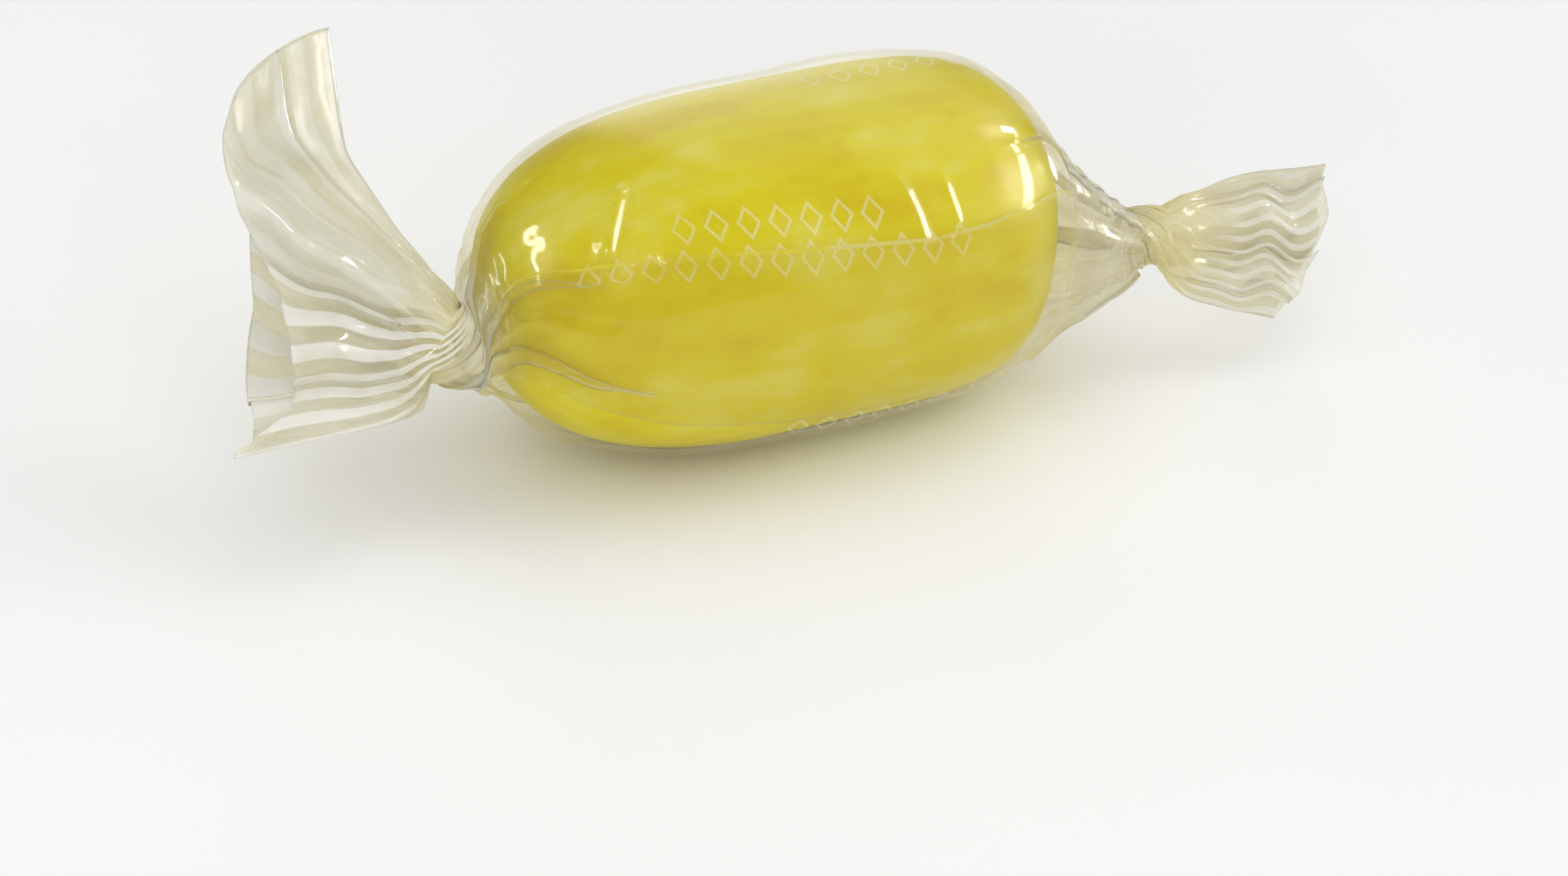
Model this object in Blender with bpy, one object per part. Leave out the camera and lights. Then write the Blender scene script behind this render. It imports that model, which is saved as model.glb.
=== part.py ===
"""A wrapped sherbet lemon: a hard boiled sweet in a clear film wrapper twisted at both ends.

The sweet lies on its side. +X runs along it, with the left twist at -X and the right one at +X.
Everything is drawn round the sweet's centre, and lifted and centred at the end, so that the
part stands on z = 0 with its bounding box centred over the origin.

The wrapper is one open tube of film: cut edge, fan, twist, body, twist, fan, cut edge. It is
drawn as rings of points from end to end, each ring on the outer and on the inner face.
"""

import math
from dataclasses import dataclass

import bmesh
import bpy
import numpy as np
from mathutils import Matrix, Quaternion, Vector

MM = 0.001

# The boiled sweet, a barrel with soft shoulders.
SWEET_LENGTH = 28.0 * MM
SWEET_WIDTH = 17.2 * MM
SWEET_HEIGHT = 16.2 * MM
LEFT_POWER = 2.7  # outline of its left half from the side: 2 is an ellipse, more is squarer
RIGHT_POWER = 3.7  # and of its right half
SECTION_POWER = 2.3  # outline from the end
REST_DEPTH = 0.2 * MM  # taken off underneath as a small flat to rest on
SWEET_SEGMENTS = 32
SWEET_RINGS = 22

# The film, drawn with a wall that a solid can have.
WALL = 0.35 * MM
AIR_GAP = 0.32 * MM  # between the sweet and the wall
AROUND = 56  # points in a ring
BODY_RINGS = 7
CONE_RINGS = 9
NECK_RINGS = 4
FAN_RINGS = 9
BODY_SHARE = 0.62  # of the sweet's half length, where an end's rings take over
SOFT_JOIN = 0.4 * MM  # over which the film leaves the sweet for the cone
TANGENT_STEPS = 200  # places tried along the sweet for the one where the film leaves it
PLEATS = 8
PLEAT_DEPTH = 0.28  # of the ring's radius, at the twist
PLEAT_SHARPNESS = 1.5  # 1 is a plain wave, more has narrower ridges
LAYER_HALF_GAP = 0.85 * MM  # from a fan's middle surface to its outer face
FLATTENED_AT = 0.35  # share of a fan's length where its section is fully flat
BLADE_TURN = (0.1, 0.9)  # shares of a fan's height between which its two blades part
CORNER_TURN = (0.3, 0.75)  # and between which the film grows from its foot's length to its top's
FOLD_GROWTH = 0.8  # 1 grows a fan's folds evenly from the twist to the cut edge, less sooner

# Colours, linear, and how rough each surface is.
SUGAR_COLOUR = (0.65, 0.56, 0.05)
SUGAR_ROUGHNESS = 0.30
FILM_COLOUR = (0.88, 0.87, 0.80)
FILM_ROUGHNESS = 0.10
FILM_TRANSMISSION = 0.9


@dataclass(frozen=True)
class TwistedEnd:
    """One end of the wrapper, from the shoulder of the sweet out to the cut edge."""

    side: int  # -1 at -X, +1 at +X
    neck: tuple  # where the twist starts, from the sweet's centre
    neck_radius: float
    neck_length: float
    twist: float  # how far the film turns along the neck
    shift_from: float  # place along the sweet where the film starts to lean towards the neck
    cone_power: float  # 1 is a straight cone, more is hollower
    azimuth: float  # where the fan's broad face looks, round Z from -Y
    elevation: float  # and above the horizon
    heading: float  # the fan's middle line in that face, from its right-hand direction
    recede: float  # how far the middle line turns away behind that face
    top_angle: float  # from the middle line to the upper edge
    foot_angle: float  # and to the lower edge
    top_length: float  # of the film from the twist to the cut edge
    foot_length: float
    flare: float  # 1 spreads evenly, less opens straight after the twist
    blades: float  # 0 spreads the film evenly, 1 gathers it into two blades
    foot_forward: float  # how far the lower edge comes out of the face
    folds: float  # waves across the fan
    fold_height: float


LEFT_END = TwistedEnd(
    side=-1,
    neck=(-15.5 * MM, -1.4 * MM, -0.6 * MM),
    neck_radius=1.9 * MM,
    neck_length=1.2 * MM,
    twist=math.radians(70),
    shift_from=13.7 * MM,
    cone_power=1.0,
    azimuth=math.radians(-25),
    elevation=math.radians(29),
    heading=math.radians(160),
    recede=0.0,
    top_angle=math.radians(46),
    foot_angle=math.radians(-30),
    top_length=15.2 * MM,
    foot_length=7.8 * MM,
    flare=0.95,
    blades=0.75,
    foot_forward=6.5 * MM,
    folds=3.5,
    fold_height=0.9 * MM,
)
RIGHT_END = TwistedEnd(
    side=1,
    neck=(19.9 * MM, -2.2 * MM, -2.1 * MM),
    neck_radius=1.35 * MM,
    neck_length=1.4 * MM,
    twist=math.radians(80),
    shift_from=12.0 * MM,
    cone_power=1.2,
    azimuth=math.radians(-25),
    elevation=math.radians(29),
    heading=math.radians(-4),
    recede=math.radians(18),
    top_angle=math.radians(22),
    foot_angle=math.radians(-28),
    top_length=9.0 * MM,
    foot_length=7.8 * MM,
    flare=0.72,
    blades=0.0,
    foot_forward=1.0 * MM,
    folds=2.5,
    fold_height=0.8 * MM,
)


def smooth_step(value, start, end):
    """0 before start and 1 after end, with an easy curve between."""
    share = np.clip((value - start) / (end - start), 0.0, 1.0)
    return share * share * (3.0 - 2.0 * share)


def fold_wave(phase):
    """A wave with straighter flanks than a sine, like creased film."""
    return np.sin(phase) - np.sin(3.0 * phase) / 9.0


def profile_power(x):
    """The power of the side outline at a place along the sweet."""
    return np.where(np.asarray(x) < 0.0, LEFT_POWER, RIGHT_POWER)


def sweet_radius(x, angle, grown):
    """Radius of the sweet grown by a distance, at a place along it and an angle from straight up."""
    up = np.abs(np.cos(angle)) / (SWEET_HEIGHT / 2 + grown)
    across = np.abs(np.sin(angle)) / (SWEET_WIDTH / 2 + grown)
    widest = (up**SECTION_POWER + across**SECTION_POWER) ** (-1.0 / SECTION_POWER)
    along = np.clip(np.abs(x) / (SWEET_LENGTH / 2 + grown), 0.0, 1.0)
    power = profile_power(x)
    return widest * (1.0 - along**power) ** (1.0 / power)


def flattened(z, inset):
    """Heights, with what is under the resting flat brought up to it."""
    lowest = -(SWEET_HEIGHT / 2 + AIR_GAP + WALL - REST_DEPTH) + inset
    return np.maximum(z, lowest)


def soft_maximum(first, second, width):
    """The larger of two lengths, with the corner where they cross rounded off."""
    closeness = np.maximum(width - np.abs(first - second), 0.0) / width
    return np.maximum(first, second) + closeness**2 * width / 4.0


def leaving_place(end):
    """Place along the sweet where a straight line from the twist just touches it."""
    along = np.linspace(0.0, SWEET_LENGTH / 2, TANGENT_STEPS)
    radius = sweet_radius(end.side * along, 0.0, AIR_GAP + WALL)
    slope = (radius - end.neck_radius) / (abs(end.neck[0]) - along)
    return along[np.argmax(slope)]


def section(centre, frame, across, outward):
    """Points of a ring in a frame of three rows: along, up and out of the face."""
    return np.array(centre) + np.outer(across, frame[1]) + np.outer(outward, frame[2])


def pleats(angle, depth):
    """How much a ring's radius grows over its pleats."""
    return 1.0 + depth * (0.5 + 0.5 * np.cos(PLEATS * angle)) ** PLEAT_SHARPNESS


def neck_frame(end):
    """Along, up and out of the face, where the film enters the twist."""
    return np.array([(end.side, 0.0, 0.0), (0.0, 0.0, 1.0), (0.0, -1.0, 0.0)])


def fan_frame(end):
    """The same three directions in the opened fan."""
    right = Vector((math.cos(end.azimuth), math.sin(end.azimuth), 0.0))
    facing = Vector((
        math.sin(end.azimuth) * math.cos(end.elevation),
        -math.cos(end.azimuth) * math.cos(end.elevation),
        math.sin(end.elevation),
    ))
    upward = facing.cross(right)
    along = right * math.cos(end.heading) + upward * math.sin(end.heading)
    across = (upward * math.cos(end.heading) - right * math.sin(end.heading)) * end.side
    turn = Quaternion(across, end.recede * end.side)
    along.rotate(turn)
    facing.rotate(turn)
    return np.array([along, across, facing])


def frames_between(first, last, count):
    """Frames that turn evenly from the first to the last, both included."""
    turn = Matrix(last.T @ first).to_quaternion()
    steps = [Quaternion().slerp(turn, i / (count - 1)) for i in range(count)]
    return [np.array([step @ Vector(row) for row in first]) for step in steps]


def body_ring(x, angle, inset):
    """A ring of film over the side of the sweet."""
    radius = sweet_radius(x, angle, AIR_GAP + WALL - inset)
    ring = section((x, 0.0, 0.0), neck_frame(RIGHT_END), radius * np.cos(angle), radius * np.sin(angle))
    ring[:, 2] = flattened(ring[:, 2], inset)
    return ring


def cone_ring(end, share, angle, inset):
    """A ring between the shoulder of the sweet, at share 0, and the twist, at share 1."""
    shoulder = BODY_SHARE * SWEET_LENGTH / 2
    neck_x = abs(end.neck[0])
    x = shoulder + (neck_x - shoulder) * math.sin(share * math.pi / 2)
    on_sweet = sweet_radius(end.side * x, angle, AIR_GAP + WALL - inset)
    leaving = leaving_place(end)
    start_radius = sweet_radius(end.side * leaving, angle, AIR_GAP + WALL)
    left_over = min((neck_x - x) / (neck_x - leaving), 1.0) ** end.cone_power
    on_cone = end.neck_radius + (start_radius - end.neck_radius) * left_over - inset
    radius = soft_maximum(on_sweet, on_cone, SOFT_JOIN)
    radius += on_cone * (pleats(angle, PLEAT_DEPTH * share**2) - 1.0)
    lean = smooth_step(x, end.shift_from, neck_x)
    centre = (end.side * x, end.neck[1] * lean, end.neck[2] * lean)
    ring = section(centre, neck_frame(end), radius * np.cos(angle), radius * np.sin(angle))
    ring[:, 2] = flattened(ring[:, 2], inset)
    return ring


def neck_ring(end, centre, frame, angle, start_angle, inset):
    """A ring of the twist. The pleats keep the places on the film where they start."""
    radius = end.neck_radius * pleats(start_angle, PLEAT_DEPTH) - inset
    return section(centre, frame, radius * np.cos(angle), radius * np.sin(angle))


def fan_ring(end, centre, frame, share, angle, start_angle, inset):
    """A ring of the fan, a flat funnel in two layers. Share 0 is at the twist, 1 the cut edge."""
    opened = smooth_step(share, 0.0, FLATTENED_AT)
    turned = (angle + math.pi) % (2.0 * math.pi) - math.pi
    even = 1.0 - 2.0 * np.abs(turned) / math.pi
    spread = (1.0 - opened) * np.cos(angle) + opened * even
    half_width = end.neck_radius + share * end.top_length * (end.top_angle - end.foot_angle) / 2
    spread = spread * (1.0 - inset / half_width)

    height = (spread + 1.0) / 2.0
    gathered = (1.0 - end.blades) * height + end.blades * smooth_step(height, *BLADE_TURN)
    direction = end.foot_angle + (end.top_angle - end.foot_angle) * gathered
    grown = smooth_step(height, *CORNER_TURN)
    length = end.foot_length + (end.top_length - end.foot_length) * grown
    along = length * share * np.cos(direction)
    bulge = 1.0 + (pleats(start_angle, PLEAT_DEPTH) - 1.0) * (1.0 - opened)
    across = end.neck_radius * bulge * spread + length * share**end.flare * np.sin(direction)

    half_gap = (1.0 - opened) * end.neck_radius * bulge + opened * LAYER_HALF_GAP - inset
    folds = end.fold_height * share**FOLD_GROWTH * fold_wave(end.folds * math.pi * spread)
    forward = end.foot_forward * share * (1.0 - height) ** 2
    outward = half_gap * np.sin(angle) + folds + forward
    return section(centre, frame, across, outward) + np.outer(along, frame[0])


def end_rings(end, inset):
    """One end's rings, from next to the shoulder out to the cut edge."""
    start_angle = np.arange(AROUND) * 2.0 * math.pi / AROUND
    rings = [cone_ring(end, (i + 1) / CONE_RINGS, start_angle, inset) for i in range(CONE_RINGS)]

    centre = np.array(end.neck)
    frames = frames_between(neck_frame(end), fan_frame(end), NECK_RINGS)
    step = end.neck_length / (NECK_RINGS - 1)
    for i in range(1, NECK_RINGS):
        centre = centre + step * (frames[i - 1][0] + frames[i][0]) / 2
        angle = start_angle + end.twist * i / (NECK_RINGS - 1)
        rings.append(neck_ring(end, centre, frames[i], angle, start_angle, inset))

    for i in range(1, FAN_RINGS + 1):
        share = i / FAN_RINGS
        angle = start_angle + end.twist
        rings.append(fan_ring(end, centre, frames[-1], share, angle, start_angle, inset))
    return rings


def film_rings(inset):
    """Every ring of one face of the film, from the left cut edge to the right one."""
    angle = np.arange(AROUND) * 2.0 * math.pi / AROUND
    shoulder = BODY_SHARE * SWEET_LENGTH / 2
    body = [body_ring(x, angle, inset) for x in np.linspace(-shoulder, shoulder, BODY_RINGS)]
    return end_rings(LEFT_END, inset)[::-1] + body + end_rings(RIGHT_END, inset)


def add_band(mesh, first, second, inside_out):
    """Triangles between two rings, all with the same diagonal."""
    count = len(first)
    for i in range(count):
        j = (i + 1) % count
        corners = [(first[i], first[j], second[j]), (first[i], second[j], second[i])]
        for three in corners:
            mesh.faces.new(three[::-1] if inside_out else three)


def build_wrapper():
    """The film as one solid: an outer face, an inner face and a rim at each cut edge."""
    mesh = bmesh.new()
    outer, inner = (
        [[mesh.verts.new(point) for point in ring] for ring in film_rings(inset)]
        for inset in (0.0, WALL)
    )
    for first, second in zip(outer, outer[1:]):
        add_band(mesh, first, second, False)
    for first, second in zip(inner, inner[1:]):
        add_band(mesh, first, second, True)
    add_band(mesh, outer[0], inner[0], True)
    add_band(mesh, outer[-1], inner[-1], False)
    return make_object("wrapper", mesh)


def build_sweet():
    """The boiled sweet, a ball pushed out to a barrel, with its small flat underneath."""
    mesh = bmesh.new()
    bmesh.ops.create_uvsphere(mesh, u_segments=SWEET_SEGMENTS, v_segments=SWEET_RINGS, radius=1.0)
    for vert in mesh.verts:
        along, across = vert.co.z, math.hypot(vert.co.x, vert.co.y)
        power = float(profile_power(along))
        reach = (abs(along) ** power + across**power) ** (-1.0 / power)
        x = along * reach * SWEET_LENGTH / 2
        angle = math.atan2(-vert.co.y, vert.co.x)
        radius = sweet_radius(x, angle, 0.0) if across > 0.0 else 0.0
        z = flattened(radius * math.cos(angle), WALL + AIR_GAP)
        vert.co = (x, radius * math.sin(angle), z)
    return make_object("boiled_sweet", mesh)


def make_object(name, mesh):
    """A named, smooth-shaded object from a finished mesh."""
    data = bpy.data.meshes.new(name)
    mesh.to_mesh(data)
    mesh.free()
    data.shade_smooth()
    thing = bpy.data.objects.new(name, data)
    bpy.context.collection.objects.link(thing)
    return thing


def paint(thing, colour, roughness, transmission=0.0):
    """Gives an object a plain material of its own."""
    material = bpy.data.materials.new(thing.name)
    material.use_nodes = True
    shader = material.node_tree.nodes["Principled BSDF"]
    shader.inputs["Base Color"].default_value = (*colour, 1.0)
    shader.inputs["Roughness"].default_value = roughness
    shader.inputs["Metallic"].default_value = 0.0
    shader.inputs["Transmission Weight"].default_value = transmission
    material.diffuse_color = (*colour, 1.0)
    thing.data.materials.append(material)


def stand_on_floor(things):
    """Moves everything so that the bounding box stands on z = 0, centred over the origin."""
    points = np.array([vert.co for thing in things for vert in thing.data.vertices])
    low, high = points.min(axis=0), points.max(axis=0)
    move = Vector((-(low[0] + high[0]) / 2, -(low[1] + high[1]) / 2, -low[2]))
    for thing in things:
        thing.data.transform(Matrix.Translation(move))


def main():
    """Builds the whole sweet."""
    for thing in list(bpy.data.objects):
        bpy.data.objects.remove(thing, do_unlink=True)
    sweet, wrapper = build_sweet(), build_wrapper()
    paint(sweet, SUGAR_COLOUR, SUGAR_ROUGHNESS)
    paint(wrapper, FILM_COLOUR, FILM_ROUGHNESS, FILM_TRANSMISSION)
    stand_on_floor([sweet, wrapper])


main()
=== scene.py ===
"""A wrapped sherbet lemon: a boiled sweet in a clear film twisted at both ends.

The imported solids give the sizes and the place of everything. The sweet is made again with its
lumps and cloudy sugar, and the film is made again at its real thickness, rolled round the sweet
with its overlap, pleated at both twists, creased in both fans and printed near its cut edges.
"""

import logging
import math
from dataclasses import dataclass, field
from enum import Enum, IntEnum

import bpy
import numpy as np
from mathutils import Matrix, Quaternion, Vector, noise


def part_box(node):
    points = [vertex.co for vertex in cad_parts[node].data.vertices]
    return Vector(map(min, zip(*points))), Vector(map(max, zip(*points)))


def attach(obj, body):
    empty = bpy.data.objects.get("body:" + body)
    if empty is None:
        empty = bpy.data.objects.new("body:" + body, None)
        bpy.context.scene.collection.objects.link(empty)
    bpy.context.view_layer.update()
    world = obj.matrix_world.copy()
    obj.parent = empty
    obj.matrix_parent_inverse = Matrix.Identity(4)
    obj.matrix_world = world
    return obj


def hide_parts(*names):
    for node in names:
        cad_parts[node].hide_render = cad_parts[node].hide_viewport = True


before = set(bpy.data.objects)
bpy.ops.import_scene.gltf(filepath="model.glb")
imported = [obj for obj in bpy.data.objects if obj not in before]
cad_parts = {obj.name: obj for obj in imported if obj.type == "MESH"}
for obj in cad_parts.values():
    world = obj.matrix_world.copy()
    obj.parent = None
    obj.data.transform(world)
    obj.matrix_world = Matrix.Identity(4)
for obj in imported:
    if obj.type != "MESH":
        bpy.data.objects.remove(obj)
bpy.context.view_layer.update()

MM = 0.001
DEG = math.pi / 180.0
TURN = 2.0 * math.pi
PHOTO_WIDTH = 2576
PHOTO_HEIGHT = 1439
log = logging.getLogger("sherbet_lemon")


class Side(IntEnum):
    """Which end of the sweet something is at, as the sign of its X."""

    LEFT = -1
    RIGHT = 1


# ---------------------------------------------------------------------------------------------
# Curves that several pieces share
# ---------------------------------------------------------------------------------------------


def smooth_step(value: np.ndarray, start: float, end: float) -> np.ndarray:
    """Rises from 0 at start to 1 at end with an easy curve.

    Args:
        value: Where to read the curve.
        start: The last value that gives 0.
        end: The first value that gives 1.

    Returns:
        Shares from 0 to 1, of value's shape.
    """
    share = np.clip((value - start) / (end - start), 0.0, 1.0)
    return share * share * (3.0 - 2.0 * share)


def fold_wave(phase: np.ndarray) -> np.ndarray:
    """A wave with straighter flanks than a sine, like creased film."""
    return np.sin(phase) - np.sin(3.0 * phase) / 9.0


def zigzag(phase: np.ndarray) -> np.ndarray:
    """A wave from -1 to 1 of straight flanks and sharp turns, once every 1."""
    return 4.0 * np.abs(phase - np.floor(phase + 0.5)) - 1.0


def soft_maximum(first: np.ndarray, second: np.ndarray, width: float) -> np.ndarray:
    """The larger of two lengths, with the corner where they cross rounded off.

    Args:
        first: Lengths.
        second: Lengths to compare them with.
        width: How close the two are where the rounding begins.

    Returns:
        The rounded maximum.
    """
    closeness = np.maximum(width - np.abs(first - second), 0.0) / width
    return np.maximum(first, second) + closeness**2 * width / 4.0


def wrapped(angle: np.ndarray) -> np.ndarray:
    """Angles brought between minus and plus half a turn."""
    return (angle + math.pi) % TURN - math.pi


# ---------------------------------------------------------------------------------------------
# New objects
# ---------------------------------------------------------------------------------------------


def placed(name: str, data: bpy.types.ID) -> bpy.types.Object:
    """A new object in the scene.

    Args:
        name: Its name.
        data: Its data.

    Returns:
        The object.
    """
    made = bpy.data.objects.new(name, data)
    bpy.context.collection.objects.link(made)
    return made


def meshed(name: str, points: list, faces: list, finish: object) -> bpy.types.Object:
    """A new mesh object in the scene.

    Args:
        name: Its name.
        points: Its points.
        faces: Its faces, as indices of points.
        finish: What builds its material.

    Returns:
        The object.
    """
    data = bpy.data.meshes.new(name)
    data.from_pydata(points, [], faces)
    data.materials.append(finish.material())
    return placed(name, data)


# ---------------------------------------------------------------------------------------------
# Finishes
# ---------------------------------------------------------------------------------------------


class Nodes:
    """The node tree of a material or a world, with short ways to add to it."""

    def __init__(self, owner: bpy.types.ID, output: str) -> None:
        """Starts an empty tree.

        Args:
            owner: The material or the world.
            output: The type of its output node, without the leading ShaderNode.
        """
        self.owner = owner
        self.owner.use_nodes = True
        self.tree = self.owner.node_tree
        self.tree.nodes.clear()
        self.output = self.add(output)

    @classmethod
    def of_material(cls, name: str) -> "Nodes":
        """Starts an empty material."""
        return cls(bpy.data.materials.new(name), "OutputMaterial")

    def add(self, kind: str, settings: dict | None = None, **inputs: object) -> bpy.types.Node:
        """Adds a node.

        Args:
            kind: The node's type, without the leading ShaderNode.
            settings: Properties of the node itself.
            **inputs: Sockets by name, with _ for a space. A value is set, an output is linked.

        Returns:
            The new node.
        """
        node = self.tree.nodes.new("ShaderNode" + kind)
        for key, value in (settings or {}).items():
            setattr(node, key, value)
        for key, value in inputs.items():
            self.feed(node.inputs[key.replace("_", " ")], value)
        return node

    def feed(self, socket: bpy.types.NodeSocket, value: object) -> None:
        """Links an output to a socket, or sets the socket's value.

        Args:
            socket: The input socket.
            value: The output, or the value.
        """
        if isinstance(value, bpy.types.NodeSocket):
            self.tree.links.new(value, socket)
        else:
            socket.default_value = value

    def math(self, operation: str, *values: object, clamp: bool = False) -> bpy.types.NodeSocket:
        """Adds a Math node.

        Args:
            operation: The node's operation.
            *values: Its inputs, in order.
            clamp: Whether the result is kept between 0 and 1.

        Returns:
            The node's output.
        """
        node = self.add("Math", {"operation": operation, "use_clamp": clamp})
        for socket, value in zip(node.inputs, values):
            self.feed(socket, value)
        return node.outputs[0]

    def times(self, *factors: object) -> bpy.types.NodeSocket:
        """Adds the nodes that multiply two or more values."""
        product = factors[0]
        for factor in factors[1:]:
            product = self.math("MULTIPLY", product, factor)
        return product

    def apart(self, first: object, second: object) -> bpy.types.NodeSocket:
        """Adds the nodes for how far two values lie apart."""
        return self.math("ABSOLUTE", self.math("SUBTRACT", first, second))

    def between(self, share: object, values: tuple) -> bpy.types.NodeSocket:
        """Adds the node that goes from the first of two values to the second with a share."""
        first, second = values
        return self.math("MULTIPLY_ADD", share, float(second - first), float(first))

    def attribute(self, name: str, output: str = "Fac") -> bpy.types.NodeSocket:
        """Adds the node that reads an attribute of the mesh."""
        return self.add("Attribute", {"attribute_name": name}).outputs[output]

    def ramp(self, value: object, start: float, end: float, low: float = 0.0,
             high: float = 1.0) -> bpy.types.NodeSocket:
        """Maps a range of values to another with an easy curve.

        Args:
            value: What to map.
            start: The value that gives low.
            end: The value that gives high.
            low: The least result.
            high: The largest result.

        Returns:
            The mapped value.
        """
        node = self.add("MapRange", {"interpolation_type": "SMOOTHSTEP"}, Value=value,
                        From_Min=start, From_Max=end, To_Min=low, To_Max=high)
        return node.outputs[0]

    def noise(self, vector: object, scale: float, detail: float = 2.0,
              roughness: float = 0.5) -> bpy.types.NodeSocket:
        """Adds a noise texture.

        Args:
            vector: Where it is read.
            scale: How fine it is.
            detail: How many finer layers it has.
            roughness: How strong the finer layers are.

        Returns:
            The noise, mostly between 0.3 and 0.7.
        """
        node = self.add("TexNoise", None, Vector=vector, Scale=scale, Detail=detail,
                        Roughness=roughness)
        return node.outputs["Fac"]

    def mix_colour(self, share: object, first: object, second: object) -> bpy.types.NodeSocket:
        """Mixes two colours.

        Args:
            share: 0 gives the first, 1 the second.
            first: A colour.
            second: A colour.

        Returns:
            The mixed colour.
        """
        node = self.add("Mix", {"data_type": "RGBA"})
        for socket, value in zip((node.inputs[0], node.inputs[6], node.inputs[7]),
                                 (share, first, second)):
            self.feed(socket, value)
        return node.outputs[2]

    def mix_shader(self, share: object, first: bpy.types.Node,
                   second: bpy.types.Node) -> bpy.types.Node:
        """Mixes two shaders.

        Args:
            share: 0 gives the first, 1 the second.
            first: A shader node.
            second: A shader node.

        Returns:
            The mix node.
        """
        node = self.add("MixShader")
        for socket, value in zip(node.inputs, (share, first.outputs[0], second.outputs[0])):
            self.feed(socket, value)
        return node

    def matt(self, through: float, colour: object) -> bpy.types.Node:
        """Adds shaders of one colour: matt, and a share of light that comes through."""
        return self.mix_shader(through, self.add("BsdfDiffuse", None, Color=colour),
                               self.add("BsdfTranslucent", None, Color=colour))

    def finish(self, shader: bpy.types.Node) -> bpy.types.ID:
        """Puts a shader out as the surface and returns the material or the world."""
        self.feed(self.output.inputs["Surface"], shader.outputs[0])
        return self.owner


@dataclass(frozen=True)
class SugarFinish:
    """Cloudy boiled sugar: clear lemon yellow, with paler streaks of air pulled into it."""

    deep: tuple = (0.640, 0.528, 0.003, 1.0)
    lemon: tuple = (0.690, 0.618, 0.009, 1.0)
    pale: tuple = (0.725, 0.692, 0.130, 1.0)
    streak_turn: float = 14 * DEG  # of the streaks, from along the sweet
    streak_stretch: tuple = (0.30, 1.0, 1.0)  # less is longer
    streaks: tuple = (260.0, 4.0, 0.62)  # scale, detail and roughness of each noise
    clouds: tuple = (170.0, 3.0, 0.6)
    grain: tuple = (1300.0, 1.0, 0.5)
    streak_share: float = 0.55  # of the cloudiness, and the clouds give the rest
    deep_at: tuple = (0.51, 0.38)  # cloudiness
    pale_at: tuple = (0.49, 0.62, 0.0, 0.9)  # cloudiness, then paleness
    rough_at: tuple = (0.35, 0.65, 0.26, 0.44)  # clouds, then roughness
    grain_height: float = 0.07  # beside the cloudiness
    relief: float = 0.12 * MM
    relief_strength: float = 0.25
    glow: float = 0.35  # share of light that goes into the sugar
    depth: float = 1.6 * MM  # how far it goes
    depth_shares: tuple = (1.0, 0.85, 0.15)  # of red, green and blue
    refraction: float = 1.5
    specular: float = 0.12

    def material(self) -> bpy.types.Material:
        """Builds the material."""
        nodes = Nodes.of_material("boiled_sugar")
        place = nodes.add("TexCoord").outputs["Object"]
        streaked = nodes.add("Mapping", {"vector_type": "POINT"}, Vector=place,
                             Rotation=(0.0, 0.0, self.streak_turn), Scale=self.streak_stretch)
        streaks = nodes.noise(streaked.outputs[0], *self.streaks)
        clouds = nodes.noise(place, *self.clouds)
        grain = nodes.noise(place, *self.grain)
        cloud = nodes.math("MULTIPLY_ADD", streaks, self.streak_share,
                           nodes.times(clouds, 1.0 - self.streak_share))
        colour = nodes.mix_colour(nodes.ramp(cloud, *self.deep_at), self.lemon, self.deep)
        colour = nodes.mix_colour(nodes.ramp(cloud, *self.pale_at), colour, self.pale)
        relief = nodes.math("MULTIPLY_ADD", grain, self.grain_height, cloud)
        bump = nodes.add("Bump", None, Strength=self.relief_strength, Distance=self.relief,
                         Height=relief)
        shader = nodes.add("BsdfPrincipled", None, Base_Color=colour,
                           Roughness=nodes.ramp(clouds, *self.rough_at), Normal=bump.outputs[0],
                           Subsurface_Weight=self.glow, Subsurface_Scale=self.depth,
                           Subsurface_Radius=self.depth_shares, IOR=self.refraction,
                           Specular_IOR_Level=self.specular)
        return nodes.finish(shader)


@dataclass(frozen=True)
class PrintRow:
    """A row of small outlined lozenges printed on the film."""

    start: float  # mm along the sheet from the sweet's middle, of the first lozenge's middle
    turn: float  # place round the sheet, in turns
    count: int
    pitch: float = 1.55  # mm
    tall: float = 1.7  # mm
    slimness: float = 2.5  # of a lozenge, more is narrower
    outline: float = 0.83  # where its line lies, from 0 at its middle
    line: tuple = (0.20, 0.10)  # off the outline: where the line ends and where it is full

    def ink(self, nodes: Nodes, along: object, around: object,
            turn_length: float) -> bpy.types.NodeSocket:
        """Adds the nodes that draw the row.

        Args:
            nodes: The material's nodes.
            along: Place along the sheet, in mm.
            around: Place round it, in turns.
            turn_length: Length of a turn, in mm.

        Returns:
            How much ink there is, from 0 to 1.
        """
        steps = nodes.math("DIVIDE", nodes.math("SUBTRACT", along, self.start), self.pitch)
        aside = nodes.apart(nodes.math("FRACT", nodes.math("ADD", steps, 0.5)), 0.5)
        above = nodes.math("ABSOLUTE", nodes.times(
            nodes.math("SUBTRACT", around, self.turn), turn_length))
        size = nodes.math("MULTIPLY_ADD", aside, self.slimness,
                          nodes.math("DIVIDE", above, self.tall / 2))
        line = nodes.ramp(nodes.apart(size, self.outline), *self.line)
        off_middle = nodes.apart(steps, (self.count - 1) / 2)
        return nodes.times(line, nodes.math("LESS_THAN", off_middle, self.count / 2))


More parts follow.
